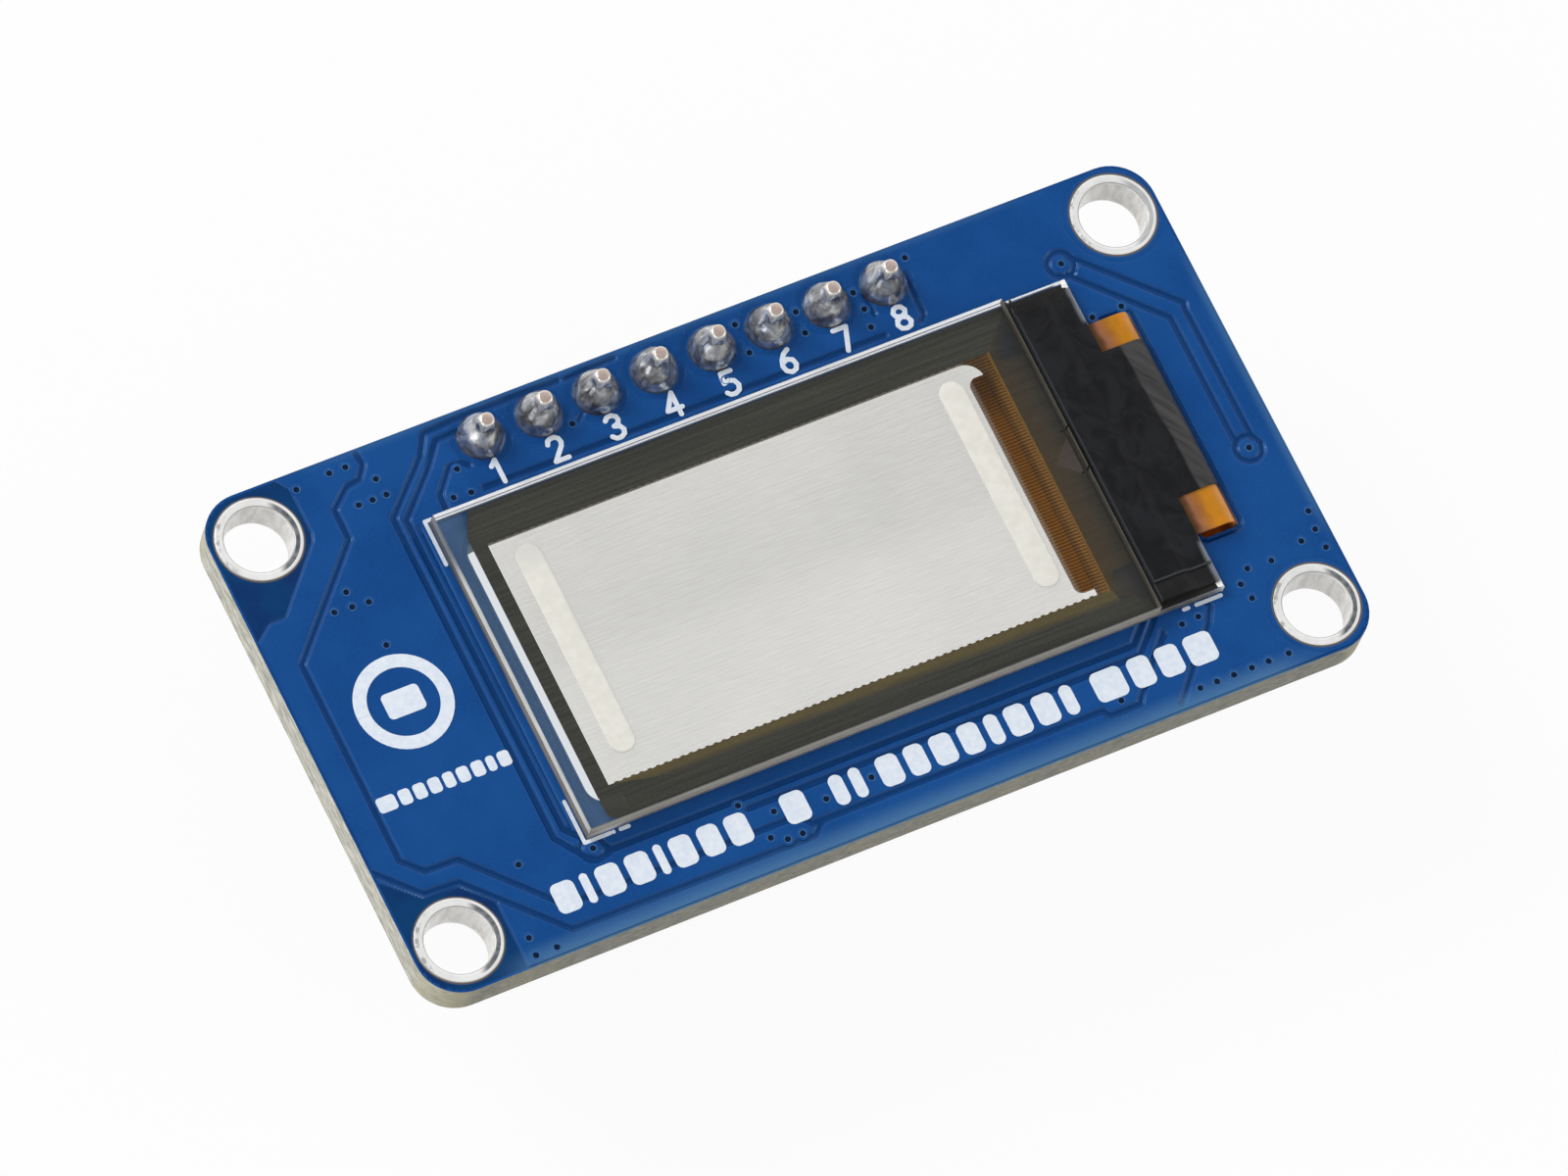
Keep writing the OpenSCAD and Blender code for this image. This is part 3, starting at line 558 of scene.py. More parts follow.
def dress(node, material, bevel=0.0):
    piece = NODES[node]
    piece.data.materials.clear()
    piece.data.materials.append(material)
    if bevel:
        edge = piece.modifiers.new("edge", "BEVEL")
        edge.width, edge.segments = bevel * MM, 2
        edge.limit_method, edge.angle_limit = "ANGLE", math.radians(40)
        edge.harden_normals = False


for dressing in (("circuit_board", MASK), ("header_body", BLACK, 0.05), ("panel_adhesive", ADHESIVE),
                 ("back_glass", BACK_GLASS, EDGE), ("cover_glass", COVER_GLASS, EDGE), ("wiring_film", FILM),
                 ("pixel_layer", PIXELS), ("edge_seal", SEAL), ("drying_strip_left", STRIP),
                 ("drying_strip_right", STRIP), ("driver_chip", SILICON), ("ledge_sealant", RESIN, 0.03),
                 ("flex_cable", FLEX), ("black_tape", TAPE), ("flex_solder", SOLDER, 0.015),
                 ("regulator_body", BLACK, 0.05), ("regulator_leads", TIN, 0.02), ("component_solder", SOLDER)):
    dress(*dressing)
for i in range(1, 5):
    dress(f"hole_plating_{i}", TIN)
for i in range(1, 7):
    for node, body, bevel in ((f"capacitor_{i}", ((150, 122, 88), (172, 142, 106)), 0.05),
                              (f"resistor_{i}", ((214, 212, 206), (230, 228, 222), (24, 24, 26)), 0.03)):
        dress(node, chip_material(node, *body), bevel)
for i in range(1, 9):
    dress(f"header_pin_{i}", PIN, 0.03)
    dress(f"solder_joint_{i}", SOLDER)


# ---- mesh helpers, in mm
def add_piece(name, verts, faces, materials, smooth=True, kinds=None):
    """A new piece on the body; kinds gives each face its place in materials."""
    mesh = bpy.data.meshes.new(name)
    mesh.from_pydata([tuple(c * MM for c in v) for v in verts], [], faces)
    for material in materials:
        mesh.materials.append(material)
    mesh.polygons.foreach_set("use_smooth", [smooth] * len(mesh.polygons))
    if kinds:
        mesh.polygons.foreach_set("material_index", kinds)
    mesh.update()
    piece = bpy.data.objects.new(name, mesh)
    scene.collection.objects.link(piece)
    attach(piece, "root")
    return piece


def circle(cx, cy, r, n):
    return [(cx + r * math.cos(2 * math.pi * k / n), cy + r * math.sin(2 * math.pi * k / n)) for k in range(n)]


def quad(x0, x1, y0, y1):
    return [(x0, y0), (x1, y0), (x1, y1), (x0, y1)]


def at(points, z):
    return [(x, y, z) for x, y in points]


def band(a, b, n):
    """Faces between two rings of n points that start at a and at b."""
    return [(a + k, a + (k + 1) % n, b + (k + 1) % n, b + k) for k in range(n)]


def cap(a, n):
    return tuple(a + k for k in range(n))


def polyline_distance(x, y, points):
    best = np.full(x.shape, 1e9)
    for (ax, ay), (bx, by) in zip(points, points[1:]):
        dx, dy = bx - ax, by - ay
        t = np.clip(((x - ax) * dx + (y - ay) * dy) / (dx * dx + dy * dy + 1e-12), 0, 1)
        best = np.minimum(best, np.hypot(x - ax - t * dx, y - ay - t * dy))
    return best


def polygon_distance(x, y, points):
    """Below 0 inside the polygon."""
    edge = polyline_distance(x, y, points + points[:1])
    inside = np.zeros(x.shape, bool)
    for (ax, ay), (bx, by) in zip(points, points[1:] + points[:1]):
        if ay != by:
            inside ^= ((ay > y) != (by > y)) & (x < (bx - ax) * (y - ay) / (by - ay) + ax)
    return np.where(inside, -edge, edge)


def rect_distance(x, y, x0, x1, y0, y1, r):
    """Below 0 inside a rectangle whose corners have radius r."""
    qx = np.abs(x - (x0 + x1) / 2) - (x1 - x0) / 2 + r
    qy = np.abs(y - (y0 + y1) / 2) - (y1 - y0) / 2 + r
    return np.hypot(np.maximum(qx, 0), np.maximum(qy, 0)) + np.minimum(np.maximum(qx, qy), 0) - r


def mask_skin(name, face, sign, grooves, rings, areas, pitch=0.1):
    """The mask over the copper: raised where there is copper, low in the gaps between conductors."""
    xs = np.arange(-HALF_L, HALF_L + 1e-6, pitch)
    ys = np.arange(-HALF_W, HALF_W + 1e-6, pitch)
    x, y = np.meshgrid(xs, ys, indexing="ij")
    inset = -rect_distance(x, y, -HALF_L, HALF_L, -HALF_W, HALF_W, BOARD_CORNER)
    gap = inset + 0.3
    for points, width in grooves:
        gap = np.minimum(gap, polyline_distance(x, y, points) - width / 2)
    for cx, cy, r, width, depth in rings:
        gap = np.minimum(gap, np.maximum(np.abs(np.hypot(x - cx, y - cy) - r) - width / 2, -depth))
    wide = np.zeros(x.shape)
    for points in areas:
        d = polygon_distance(x, y, points)
        gap = np.minimum(gap, d)
        wide = np.maximum(wide, np.clip(0.5 - d / 0.3, 0, 1))
    to_window = rect_distance(x, y, *WINDOW, WINDOW_CORNER)
    to_slot = rect_distance(x, y, *SLOT, SLOT_CORNER)
    gap = np.minimum(gap, np.minimum(to_window, to_slot) - 0.2)
    t = np.clip((gap + 0.05) / 0.1, 0, 1)
    z = face + sign * (0.002 + SKIN * t * t * (3 - 2 * t))
    to_hole = np.hypot(np.abs(x) - HOLE_X, np.abs(y) - HOLE_Y)
    keep = (inset > 0.03) & (to_window > 0.02) & (to_slot > 0.02) & (to_hole > RING_R - 0.15)
    # quads where all four corners are kept
    first, second = slice(None, -1), slice(1, None)
    corners = ((first, first), (second, first), (second, second), (first, second))
    cell = np.logical_and.reduce([keep[c] for c in corners])
    used = np.zeros(x.shape, bool)
    for c in corners:
        used[c] |= cell
    number = np.full(x.shape, -1)
    number[used] = np.arange(used.sum())
    quads = np.stack([number[c] for c in corners], -1)[cell]
    if sign < 0:
        quads = quads[:, ::-1]
    verts = np.stack([x[used], y[used], z[used]], -1)
    piece = add_piece(name, verts.tolist(), quads.tolist(), [MASK])
    for key, values in (("groove", np.clip(0.5 - gap[used] / 0.5, 0, 1)), ("open_area", wide[used])):
        layer = piece.data.attributes.new(key, "FLOAT", "POINT")
        layer.data.foreach_set("value", values.astype(np.float32))


# ---- conductors
WIDE, THIN, FINE = 0.26, 0.22, 0.2
FACE_GROOVES = [
    ([(-13.75, 11.1), (-13.7, 10.4), (-14.1, 9.9), (-14.7, 9.8), (-15.55, 9.1), (-15.55, 7.75), (-19.55, 3.65),
      (-19.55, -5.2), (-18.8, -5.95), (-17.4, -6.0), (-14.3, -9.3), (-4.2, -9.35), (-3.9, -9.85), (8.9, -9.9),
      (9.1, -10.2), (10.4, -10.2), (10.6, -9.9), (11.85, -8.6), (12.6, -7.9)], WIDE),
    ([(-20.8, -5.2), (-19.25, -6.8), (-17.8, -6.85), (-14.5, -10.3), (-4.0, -10.35), (-3.5, -9.9)], WIDE),
    ([(-5.0, 10.8), (-9.55, 10.8), (-10.9, 10.75), (-11.4, 9.95), (-13.55, 7.9), (-13.55, -6.6),
      (-12.75, -7.75), (-12.34, -8.05), (-11.85, -7.95), (-11.75, -7.7)], WIDE),
    ([(-9.65, 10.3), (-10.55, 10.3), (-11.4, 9.3), (-13.1, 7.65), (-13.05, -6.4), (-12.6, -6.9)], WIDE),
    ([(-12.78, 7.2), (-12.78, -6.6)], 0.1),
    ([(-11.45, 7.3), (-11.4, 8.15), (-10.6, 9.05), (-10.05, 9.05), (-9.8, 8.85)], WIDE),
    ([(-9.7, 7.75), (8.0, 7.75)], THIN),
    ([(9.85, 9.85), (9.85, 8.0), (9.6, 7.75)], THIN),
    ([(8.0, 9.6), (8.0, 8.7)], FINE),
    ([(-5.2, 8.8), (-4.7, 9.2)], FINE),
    ([(-4.7, 10.75), (-2.5, 10.85)], FINE),
    ([(16.35, 8.1), (16.75, 7.7), (19.8, 4.6), (19.72, 4.3), (19.72, -1.65)], WIDE),
    ([(15.95, 7.4), (19.0, 4.2), (19.0, -1.65)], WIDE),
    ([(-11.75, -7.85), (11.25, -7.85), (12.15, -6.95)], WIDE),
    ([(-6.0, -8.33), (11.3, -8.33), (12.55, -7.1)], WIDE),
    ([(11.7, -8.75), (12.6, -7.75)], FINE),
    ([(14.0, -6.75), (14.75, -7.0), (14.85, -7.5), (14.5, -8.1), (13.1, -9.55), (11.95, -10.8)], WIDE)]
FACE_RINGS = [(15.93, 7.9, 0.55, 0.24, 1), (19.37, -2.02, 0.55, 0.24, 1), (-12.34, -7.57, 0.5, 0.2, 1)]
FACE_RINGS += [(px, PIN_Y, 1.12, 0.24, -0.02) for px in PIN_X]
FACE_RINGS += [(HOLE_X, s * HOLE_Y, 2.02, 0.12, -0.03) for s in (-1, 1)]
FACE_AREAS = [
    [(-20.85, 5.0), (-20.0, 5.65), (-19.3, 5.65), (-16.9, 8.2), (-16.8, 8.5), (-16.8, 10.5), (-17.3, 11.2),
     (-20.85, 11.2)],
    [(-20.85, -5.6), (-19.35, -7.0), (-17.9, -7.05), (-16.8, -8.2), (-16.8, -11.2), (-20.85, -11.2)]]
mask_skin("face_mask", TOP, 1, FACE_GROOVES, FACE_RINGS, FACE_AREAS)

# the back's conductors, from the header and the parts to the flex's contacts
BACK_GROOVES = []
for k, px in enumerate(PIN_X):
    if px < 0:
        side, run, turn, end = -1, 8.35 - 0.26 * k, 13.5 - 0.3 * k, 5.8
    else:
        side, run, turn, end = 1, 6.55 + 0.26 * k, 13.0 + 0.3 * k, 5.9
    BACK_GROOVES.append(([(px, 8.9), (px, run + 0.3), (px + 0.3 * side, run), (turn * side, run),
                          ((turn + 0.4) * side, run - 0.4), ((turn + 0.4) * side, end)], 0.12))
for k in range(6):
    x0, y0 = -12.2 - 0.25 * k, -6.6 - 0.24 * k
    BACK_GROOVES.append(([(x0, -5.4), (x0, y0 + 0.4), (-11.8 - 0.1 * k, y0), (11.6, y0),
                          (12.6 + 0.25 * k, y0 + 1.0 + 0.1 * k)], 0.1))
BACK_RINGS = [(px, PIN_Y, 1.1, 0.2, 1) for px in PIN_X]
BACK_RINGS += [(sx * HOLE_X, sy * HOLE_Y, 2.0, 0.16, 0.02) for sx in (-1, 1) for sy in (-1, 1)]
mask_skin("back_mask", 0.0, -1, BACK_GROOVES, BACK_RINGS, [])

VIAS = [(-16.6, 10.4), (-15.1, 10.55), (-14.4, 10.55), (-13.5, 9.65), (-14.6, 8.9), (-14.0, 8.9), (-13.4, 8.9),
        (-16.65, 5.75), (-17.45, 5.15), (-16.7, 5.1), (-16.0, 5.05), (-16.15, 3.15), (-15.35, -7.1),
        (-12.35, -7.57), (-16.3, -10.0), (-16.35, -10.75), (-15.45, -10.75), (-10.35, 8.85), (-11.0, 7.8),
        (-10.25, 7.75), (-5.27, 8.9), (1.2, 8.35), (2.6, 10.35), (2.6, 9.05), (5.1, 9.95), (5.05, 9.0),
        (7.6, 9.85), (7.7, 9.05), (7.6, 8.25), (10.2, 10.45), (15.93, 7.9), (16.05, 5.35), (17.35, 5.35),
        (19.37, -2.02), (20.35, -5.35), (20.25, -6.15), (19.5, -6.4), (20.3, -7.0), (16.95, -6.65),
        (18.0, -6.7), (16.4, -7.15), (16.55, -7.85), (13.45, -7.8), (14.2, -7.75), (14.2, -7.05), (12.9, -10.5),
        (13.65, -10.5), (14.4, -10.5), (15.2, -10.5), (15.95, -10.5), (16.85, -10.5), (-6.3, -8.1),
        (-5.1, -8.85), (-5.7, -9.8), (-5.1, -10.1), (-4.45, -10.1), (-2.95, -9.15), (-0.9, -9.0), (9.74, -9.8)]
# rings of a via, from outside in: radius, height over the board, and its material (2 is the lip's painted
# highlight)
VIA_RINGS = [(0.27, 0.044, 0), (0.225, 0.058, 0), (0.17, 0.067, 2), (0.125, 0.062, 1), (0.09, 0.049, 1)]
VIA_MIDDLE = 0.0485


def via_holes(name, face, sign, n=16):
    """Small plated holes filled with mask: a raised lip with a painted highlight ring, round a dark dimple."""
    verts, faces, kinds = [], [], []
    for vx, vy in VIAS:
        if sign > 0 and PANEL_LOW[0] < vx < PANEL_HIGH[0] and abs(vy) < PANEL_HIGH[1] - 0.1:
            continue
        base, found = len(verts), []
        for j, (r, h, kind) in enumerate(VIA_RINGS):
            verts += at(circle(vx, vy, r, n), face + sign * h)
            if j < len(VIA_RINGS) - 1:
                found += band(base + j * n, base + (j + 1) * n, n)
                kinds += [kind] * n
        verts.append((vx, vy, face + sign * VIA_MIDDLE))
        last = base + (len(VIA_RINGS) - 1) * n
        found += [(last + k, last + (k + 1) % n, len(verts) - 1) for k in range(n)]
        kinds += [1] * n
        faces += [f if sign > 0 else f[::-1] for f in found]
    add_piece(name, verts, faces, [MASK, HOLE_DARK, LIP_HIGHLIGHT], True, kinds)


via_holes("face_vias", TOP, 1)
via_holes("back_vias", 0.0, -1)


# ---- print
def arc(cx, cy, r, start, sweep, n):
    """n + 1 points of an arc, in degrees."""
    turns = [math.radians(start + sweep * k / n) for k in range(n + 1)]
    return [(cx + r * math.cos(t), cy + r * math.sin(t)) for t in turns]


def outline_rect(x0, x1, y0, y1, r, n=6):
    r = min(r, (x1 - x0) / 2 - 1e-4, (y1 - y0) / 2 - 1e-4)
    corners = ((x1 - r, y1 - r, 0), (x0 + r, y1 - r, 90), (x0 + r, y0 + r, 180), (x1 - r, y0 + r, 270))
    return [point for cx, cy, start in corners for point in arc(cx, cy, r, start, 90, n)]


def stroke(points, width):
    """Outlines of the round-ended bars along a polyline."""
    bars = []
    for (ax, ay), (bx, by) in zip(points, points[1:]):
        slant = math.degrees(math.atan2(by - ay, bx - ax))
        bars.append(arc(bx, by, width / 2, slant - 90, 180, 8) + arc(ax, ay, width / 2, slant + 90, 180, 8))
    return bars


def ring_outline(cx, cy, outer, inner, n=48):
    """A ring as short quads."""
    out, hole = circle(cx, cy, outer, n), circle(cx, cy, inner, n)
    return [[out[k], out[(k + 1) % n], hole[(k + 1) % n], hole[k]] for k in range(n)]


INK_LIFT, INK_THICK, INK_STEP = 0.048, 0.012, 0.0015


def print_piece(name, outlines):
    """Ink on the mask. Outlines may overlap, so each is a hair higher than the one before."""
    verts, faces = [], []
    for order, points in enumerate(outlines):
        n, base = len(points), len(verts)
        verts += at(points, TOP + INK_LIFT)
        verts += at(points, TOP + INK_LIFT + INK_THICK + INK_STEP * (order % 12))
        faces.append(cap(base + n, n))
        faces += band(base, base + n, n)
    add_piece(name, verts, faces, [INK], False)


DIGITS = [
    [(0.1, 0.78), (0.34, 1.0), (0.34, 0.0)],
    [(0.02, 0.78), (0.08, 0.93), (0.22, 1.0), (0.4, 1.0), (0.54, 0.9), (0.58, 0.72), (0.52, 0.56), (0.02, 0.0),
     (0.6, 0.0)],
    [(0.04, 0.86), (0.16, 0.98), (0.36, 1.0), (0.53, 0.9), (0.56, 0.74), (0.48, 0.59), (0.28, 0.53),
     (0.5, 0.46), (0.6, 0.28), (0.54, 0.1), (0.36, 0.0), (0.16, 0.01), (0.02, 0.14)],
    [(0.46, 0.0), (0.46, 1.0), (0.0, 0.3), (0.64, 0.3)],
    [(0.54, 1.0), (0.1, 1.0), (0.06, 0.56), (0.3, 0.62), (0.5, 0.54), (0.6, 0.32), (0.52, 0.1), (0.32, 0.0),
     (0.12, 0.02), (0.0, 0.14)],
    [(0.5, 0.97), (0.28, 0.84), (0.1, 0.6), (0.02, 0.34), (0.08, 0.12), (0.28, 0.0), (0.48, 0.06), (0.58, 0.26),
     (0.52, 0.48), (0.32, 0.58), (0.12, 0.5)],
    [(0.0, 1.0), (0.58, 1.0), (0.22, 0.0)],
    [(0.3, 0.54), (0.5, 0.62), (0.56, 0.78), (0.46, 0.95), (0.3, 1.0), (0.14, 0.95), (0.04, 0.78), (0.1, 0.62),
     (0.3, 0.54), (0.52, 0.44), (0.6, 0.24), (0.5, 0.06), (0.3, 0.0), (0.1, 0.06), (0.0, 0.24), (0.08, 0.44),
     (0.3, 0.54)]]
DIGIT_Y, DIGIT_H, DIGIT_LINE = 7.68, 0.98, 0.2
numbers = []
for px, shape in zip(PIN_X, DIGITS):
    numbers += stroke([(px + (gx - 0.25) * DIGIT_H, DIGIT_Y + gy * DIGIT_H) for gx, gy in shape], DIGIT_LINE)
print_piece("pin_numbers", numbers)

# plain fields in place of the long line's words, clear of the vias among them
FIELD_GAP, WORD_GAP, VIA_CLEAR = 0.28, 0.55, 0.34
long_line = []
line_holes = [vx for vx, vy in VIAS if -9.8 < vy < -8.2]
cursor = -14.7
for group in ([1.0, 0.35, 1.0, 1.0, 0.35, 0.95, 0.9, 0.95],
              [1.05, 0.6, 0.9, 0.95, 0.85, 0.95, 0.9, 0.6, 0.95, 0.95, 0.55], [1.35, 0.95, 1.0, 1.2]):
    for width in group:
        for vx in line_holes:
            if cursor - VIA_CLEAR < vx < cursor + width + VIA_CLEAR:
                if vx - cursor < 0.8:
                    cursor = vx + VIA_CLEAR
                else:
                    width = vx - VIA_CLEAR - cursor
        long_line.append(outline_rect(cursor, cursor + width, -9.65, -8.35, 0.28))
        cursor += width + FIELD_GAP
    cursor += WORD_GAP
small_line = []
cursor = -19.4
for width in (0.8, 0.5, 0.5, 0.5, 0.45, 0.5, 0.5, 0.35, 0.5):
    small_line.append(outline_rect(cursor, cursor + width, -3.2, -2.55, 0.15))
    cursor += width + 0.14
# corner marks round the panel
marks = []
for ax, ay, bx, by in ((-12.5, 7.3, -12.5, 5.35), (-12.5, 7.3, -12.2, 7.3), (-12.55, -5.4, -12.55, -7.25),
                       (-12.55, -7.25, -11.45, -7.25), (-11.32, -7.25, -11.3, -7.25),
                       (-11.0, -7.25, -10.65, -7.25), (13.8, -7.27, 14.0, -7.27), (14.35, -7.27, 15.45, -7.27)):
    marks += stroke([(ax, ay), (bx, by)], 0.16)
print_piece("face_marks", marks)
print_piece("face_print_line", long_line)
print_piece("face_print_small", small_line)
disc = ring_outline(-16.55, 0.75, 2.0, 1.45) + [outline_rect(-17.35, -15.75, 0.2, 1.3, 0.2)]
print_piece("face_print_disc", disc)

# ---- solder joints
JOINT_RINGS = [(0.97, 0.0), (0.965, 0.06), (0.94, 0.18), (0.9, 0.34), (0.84, 0.52), (0.76, 0.7), (0.66, 0.87),
               (0.56, 1.02), (0.47, 1.14), (0.4, 1.25), (0.35, 1.38), (0.33, 1.5), (0.3, 1.56)]
JOINT_TIP, JOINT_FOOT = 1.58, 0.5     # height of its tip, radius under the board


def solder_joint(i, px, n=40):
    """A full, lumpy joint, wetted a little way up its pin."""
    verts, faces = [], []
    for j, (r, h) in enumerate(JOINT_RINGS):
        for c, s in circle(0.0, 0.0, 1.0, n):
            spot = Vector((c * 0.9 + i * 7.3, s * 0.9, h * 1.1))
            swell, lift = 1 + 0.02 * noise.noise(spot * 2), h
            if j > 1:
                swell = 1 + 0.07 * noise.noise(spot * 1.2) + 0.03 * noise.noise(spot * 3.1)
                lift = h * (1 + 0.06 * noise.noise(spot * 1.4))
            verts.append((px + r * swell * c, PIN_Y + r * swell * s, TOP + lift))
        if j:
            faces += band((j - 1) * n, j * n, n)
    tip, foot = len(verts), len(verts) + 1
    verts.append((px, PIN_Y, TOP + JOINT_TIP))
    faces += [(tip - n + k, tip - n + (k + 1) % n, tip) for k in range(n)]
    verts += at(circle(px, PIN_Y, JOINT_FOOT, n), 0.0)
    faces += band(foot, 0, n)
    faces.append(cap(foot, n)[::-1])
    piece = add_piece(f"joint_{i}", verts, faces, [SOLDER])
    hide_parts(f"solder_joint_{i}")


for i, px in enumerate(PIN_X, 1):
    solder_joint(i, px)


# ---- eyelets and pins
def turned(name, box, rings, material, replaced, n=64, closed=False):
    """Rings of points round a box's middle: (radius, z), or (half width, z, squareness) for a pin."""
    cx, cy = middle(box, 0), middle(box, 1)
    verts, faces = [], []
    for r, z, *square in rings:
        for c, s in circle(0.0, 0.0, 1.0, n):
            p = square[0] if square else 2
            reach = r / (abs(c) ** p + abs(s) ** p) ** (1 / p)
            verts.append((cx + reach * c, cy + reach * s, z))
    count = len(rings)
    for j in range(count if closed else count - 1):
        faces += band(j * n, (j + 1) % count * n, n)
    if not closed:
        faces += [cap(0, n)[::-1], cap((count - 1) * n, n)]
    piece = add_piece(name, verts, faces, [material])
    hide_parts(replaced)


for i in range(1, 5):
    box = box_mm(f"hole_plating_{i}")
    lip, reach = box[1][2] - TOP, RING_R - BORE
    half = [(RING_R, 0.0), (RING_R, lip * 0.45), (RING_R - 0.02, lip * 0.75), (RING_R - 0.06, lip * 0.94),
            (RING_R - 0.12, lip), (RING_R - reach * 0.45, lip * 0.98), (BORE + reach * 0.4, lip * 0.96),
            (BORE + 0.1, lip * 0.8), (BORE + 0.05, lip * 0.35), (BORE + 0.02, -0.06), (BORE + 0.003, -0.16),
            (BORE, -0.3)]
    rings = [(r, TOP + h) for r, h in half] + [(r, -h) for r, h in half[::-1]]
    turned(f"eyelet_{i}", box, rings, EYELET, f"hole_plating_{i}", closed=True)
for i, box in enumerate(PIN_BOXES, 1):
    low, high = box
    wide = (high[0] - low[0]) / 2
    foot, end = low[2], high[2]
    shape = [(0.7, foot, 7), (0.74, foot + 0.02, 8), (0.98, foot + 0.28, 9), (1, foot + 0.33, 9),
             (1, foot + 0.5, 9), (1, TOP + 1.0, 9), (1, TOP + 1.3, 5), (0.99, end - 0.24, 3),
             (0.97, end - 0.12, 2.4), (0.9, end - 0.05, 2.2), (0.8, end - 0.015, 2.1), (0.68, end, 2)]
    rings = [(wide * share, z, square) for share, z, square in shape]
    turned(f"pin_{i}", box, rings, PIN, f"header_pin_{i}", 48)


# ---- pixel sheet and drying strips
def sheet(name, box, z, material, replaced, r=0.0, thick=0.0):
    """Flat sheet, or a low pad with a rounded rim."""
    (x0, y0, _), (x1, y1, _) = box
    outline = outline_rect(x0, x1, y0, y1, r, 10) if r else [(x1, y1), (x0, y1), (x0, y0), (x1, y0)]
    rows = [(0.0, 0.0)]
    if thick:
        rows += [(0.0, thick * 0.5), (0.03, thick * 0.85), (0.09, thick)]
    n, cx, cy = len(outline), middle(box, 0), middle(box, 1)
    verts, faces = [], []
    for j, (inset, rise) in enumerate(rows):
        for px, py in outline:
            wx, wy = max(abs(px - cx) - inset, 0), max(abs(py - cy) - inset, 0)
            verts.append((cx + math.copysign(wx, px - cx), cy + math.copysign(wy, py - cy), z + rise))
        if j:
            faces += band((j - 1) * n, j * n, n)
    faces.append(cap((len(rows) - 1) * n, n))
    piece = add_piece(name, verts, faces, [material], bool(thick))
    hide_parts(replaced)


sheet("pixel_sheet", (PIXEL_LOW, PIXEL_HIGH), PIXEL_HIGH[2] - 0.004, PIXELS, "pixel_layer")
for end in ("left", "right"):
    low, high = box_mm(f"drying_strip_{end}")
    sheet(f"desiccant_{end}", (low, high), low[2], STRIP, f"drying_strip_{end}",
          (high[0] - low[0]) / 2 - 0.01, (high[2] - low[2]) * 0.4)


# ---- panes, as their outer skins
def pane(name, node, material, top_from, floor_too):
    """Walls with a fine edge, the open part of the top from top_from on, and perhaps the underside."""
    (x0, y0, z0), (x1, y1, z1) = box_mm(node)
    foot = quad(x0, x1, y0, y1)
    verts = at(foot, z0) + at(foot, z1 - EDGE) + at(quad(x0 + EDGE, x1 - EDGE, y0 + EDGE, y1 - EDGE), z1)
    faces = band(0, 4, 4) + band(4, 8, 4)
    start = max(top_from, x0 + EDGE)
    verts += [(start, y0 + EDGE, z1), (start, y1 - EDGE, z1)]
    faces.append((12, 9, 10, 13))
    if floor_too:
        faces.append((3, 2, 1, 0))
    piece = add_piece(name, verts, faces, [material], False)
    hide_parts(node)


def rim(name, node, material, inner=None, plug=False):
    """The upright faces of a thin layer, and the plug of its fill port at the end of the pane above."""
    (x0, y0, z0), (x1, y1, z1) = box_mm(node)
    verts, faces = [], []
    if plug:
        outline = quad(COVER_HIGH[0], x1, *PLUG)
        verts = at(outline, z0) + at(outline, z1)
        faces = band(0, 4, 4)[:3] + [cap(4, 4)]
        x1, z1 = COVER_HIGH[0], COVER_LOW[2]
    for bounds in [(x0, x1, y0, y1)] + ([inner] if inner else []):
        base = len(verts)
        verts += at(quad(*bounds), z0) + at(quad(*bounds), z1)
        faces += band(base, base + 4, 4)
    piece = add_piece(name, verts, faces, [material], False)
    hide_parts(node)


pane("cover_pane", "cover_glass", COVER_GLASS, PANEL_LOW[0], False)
pane("back_pane", "back_glass", BACK_GLASS, COVER_HIGH[0], True)
rim("seal_rim", "edge_seal", SEAL, plug=True)
rim("adhesive_rim", "panel_adhesive", ADHESIVE, WINDOW)


# ---- zones of the film
PAINT_LIFT, PAINT_STEP = 0.003, 0.0001


def paint(name, shapes, z):
    """Flat shapes, each a hair above the one before, in one colour or one for each corner."""
    verts, faces, colours = [], [], []
    for level, (points, *tones) in enumerate(shapes):
        faces.append(cap(len(verts), len(points)))
        verts += at(points, z + PAINT_STEP * level)
        colours += tones if len(tones) > 1 else tones * len(points)
    piece = add_piece(name, verts, faces, [PAINT], False)
    tint = piece.data.color_attributes.new("tint", "FLOAT_COLOR", "POINT")
    tint.data.foreach_set("color", np.array([srgb(*c) for c in colours], np.float32).ravel())


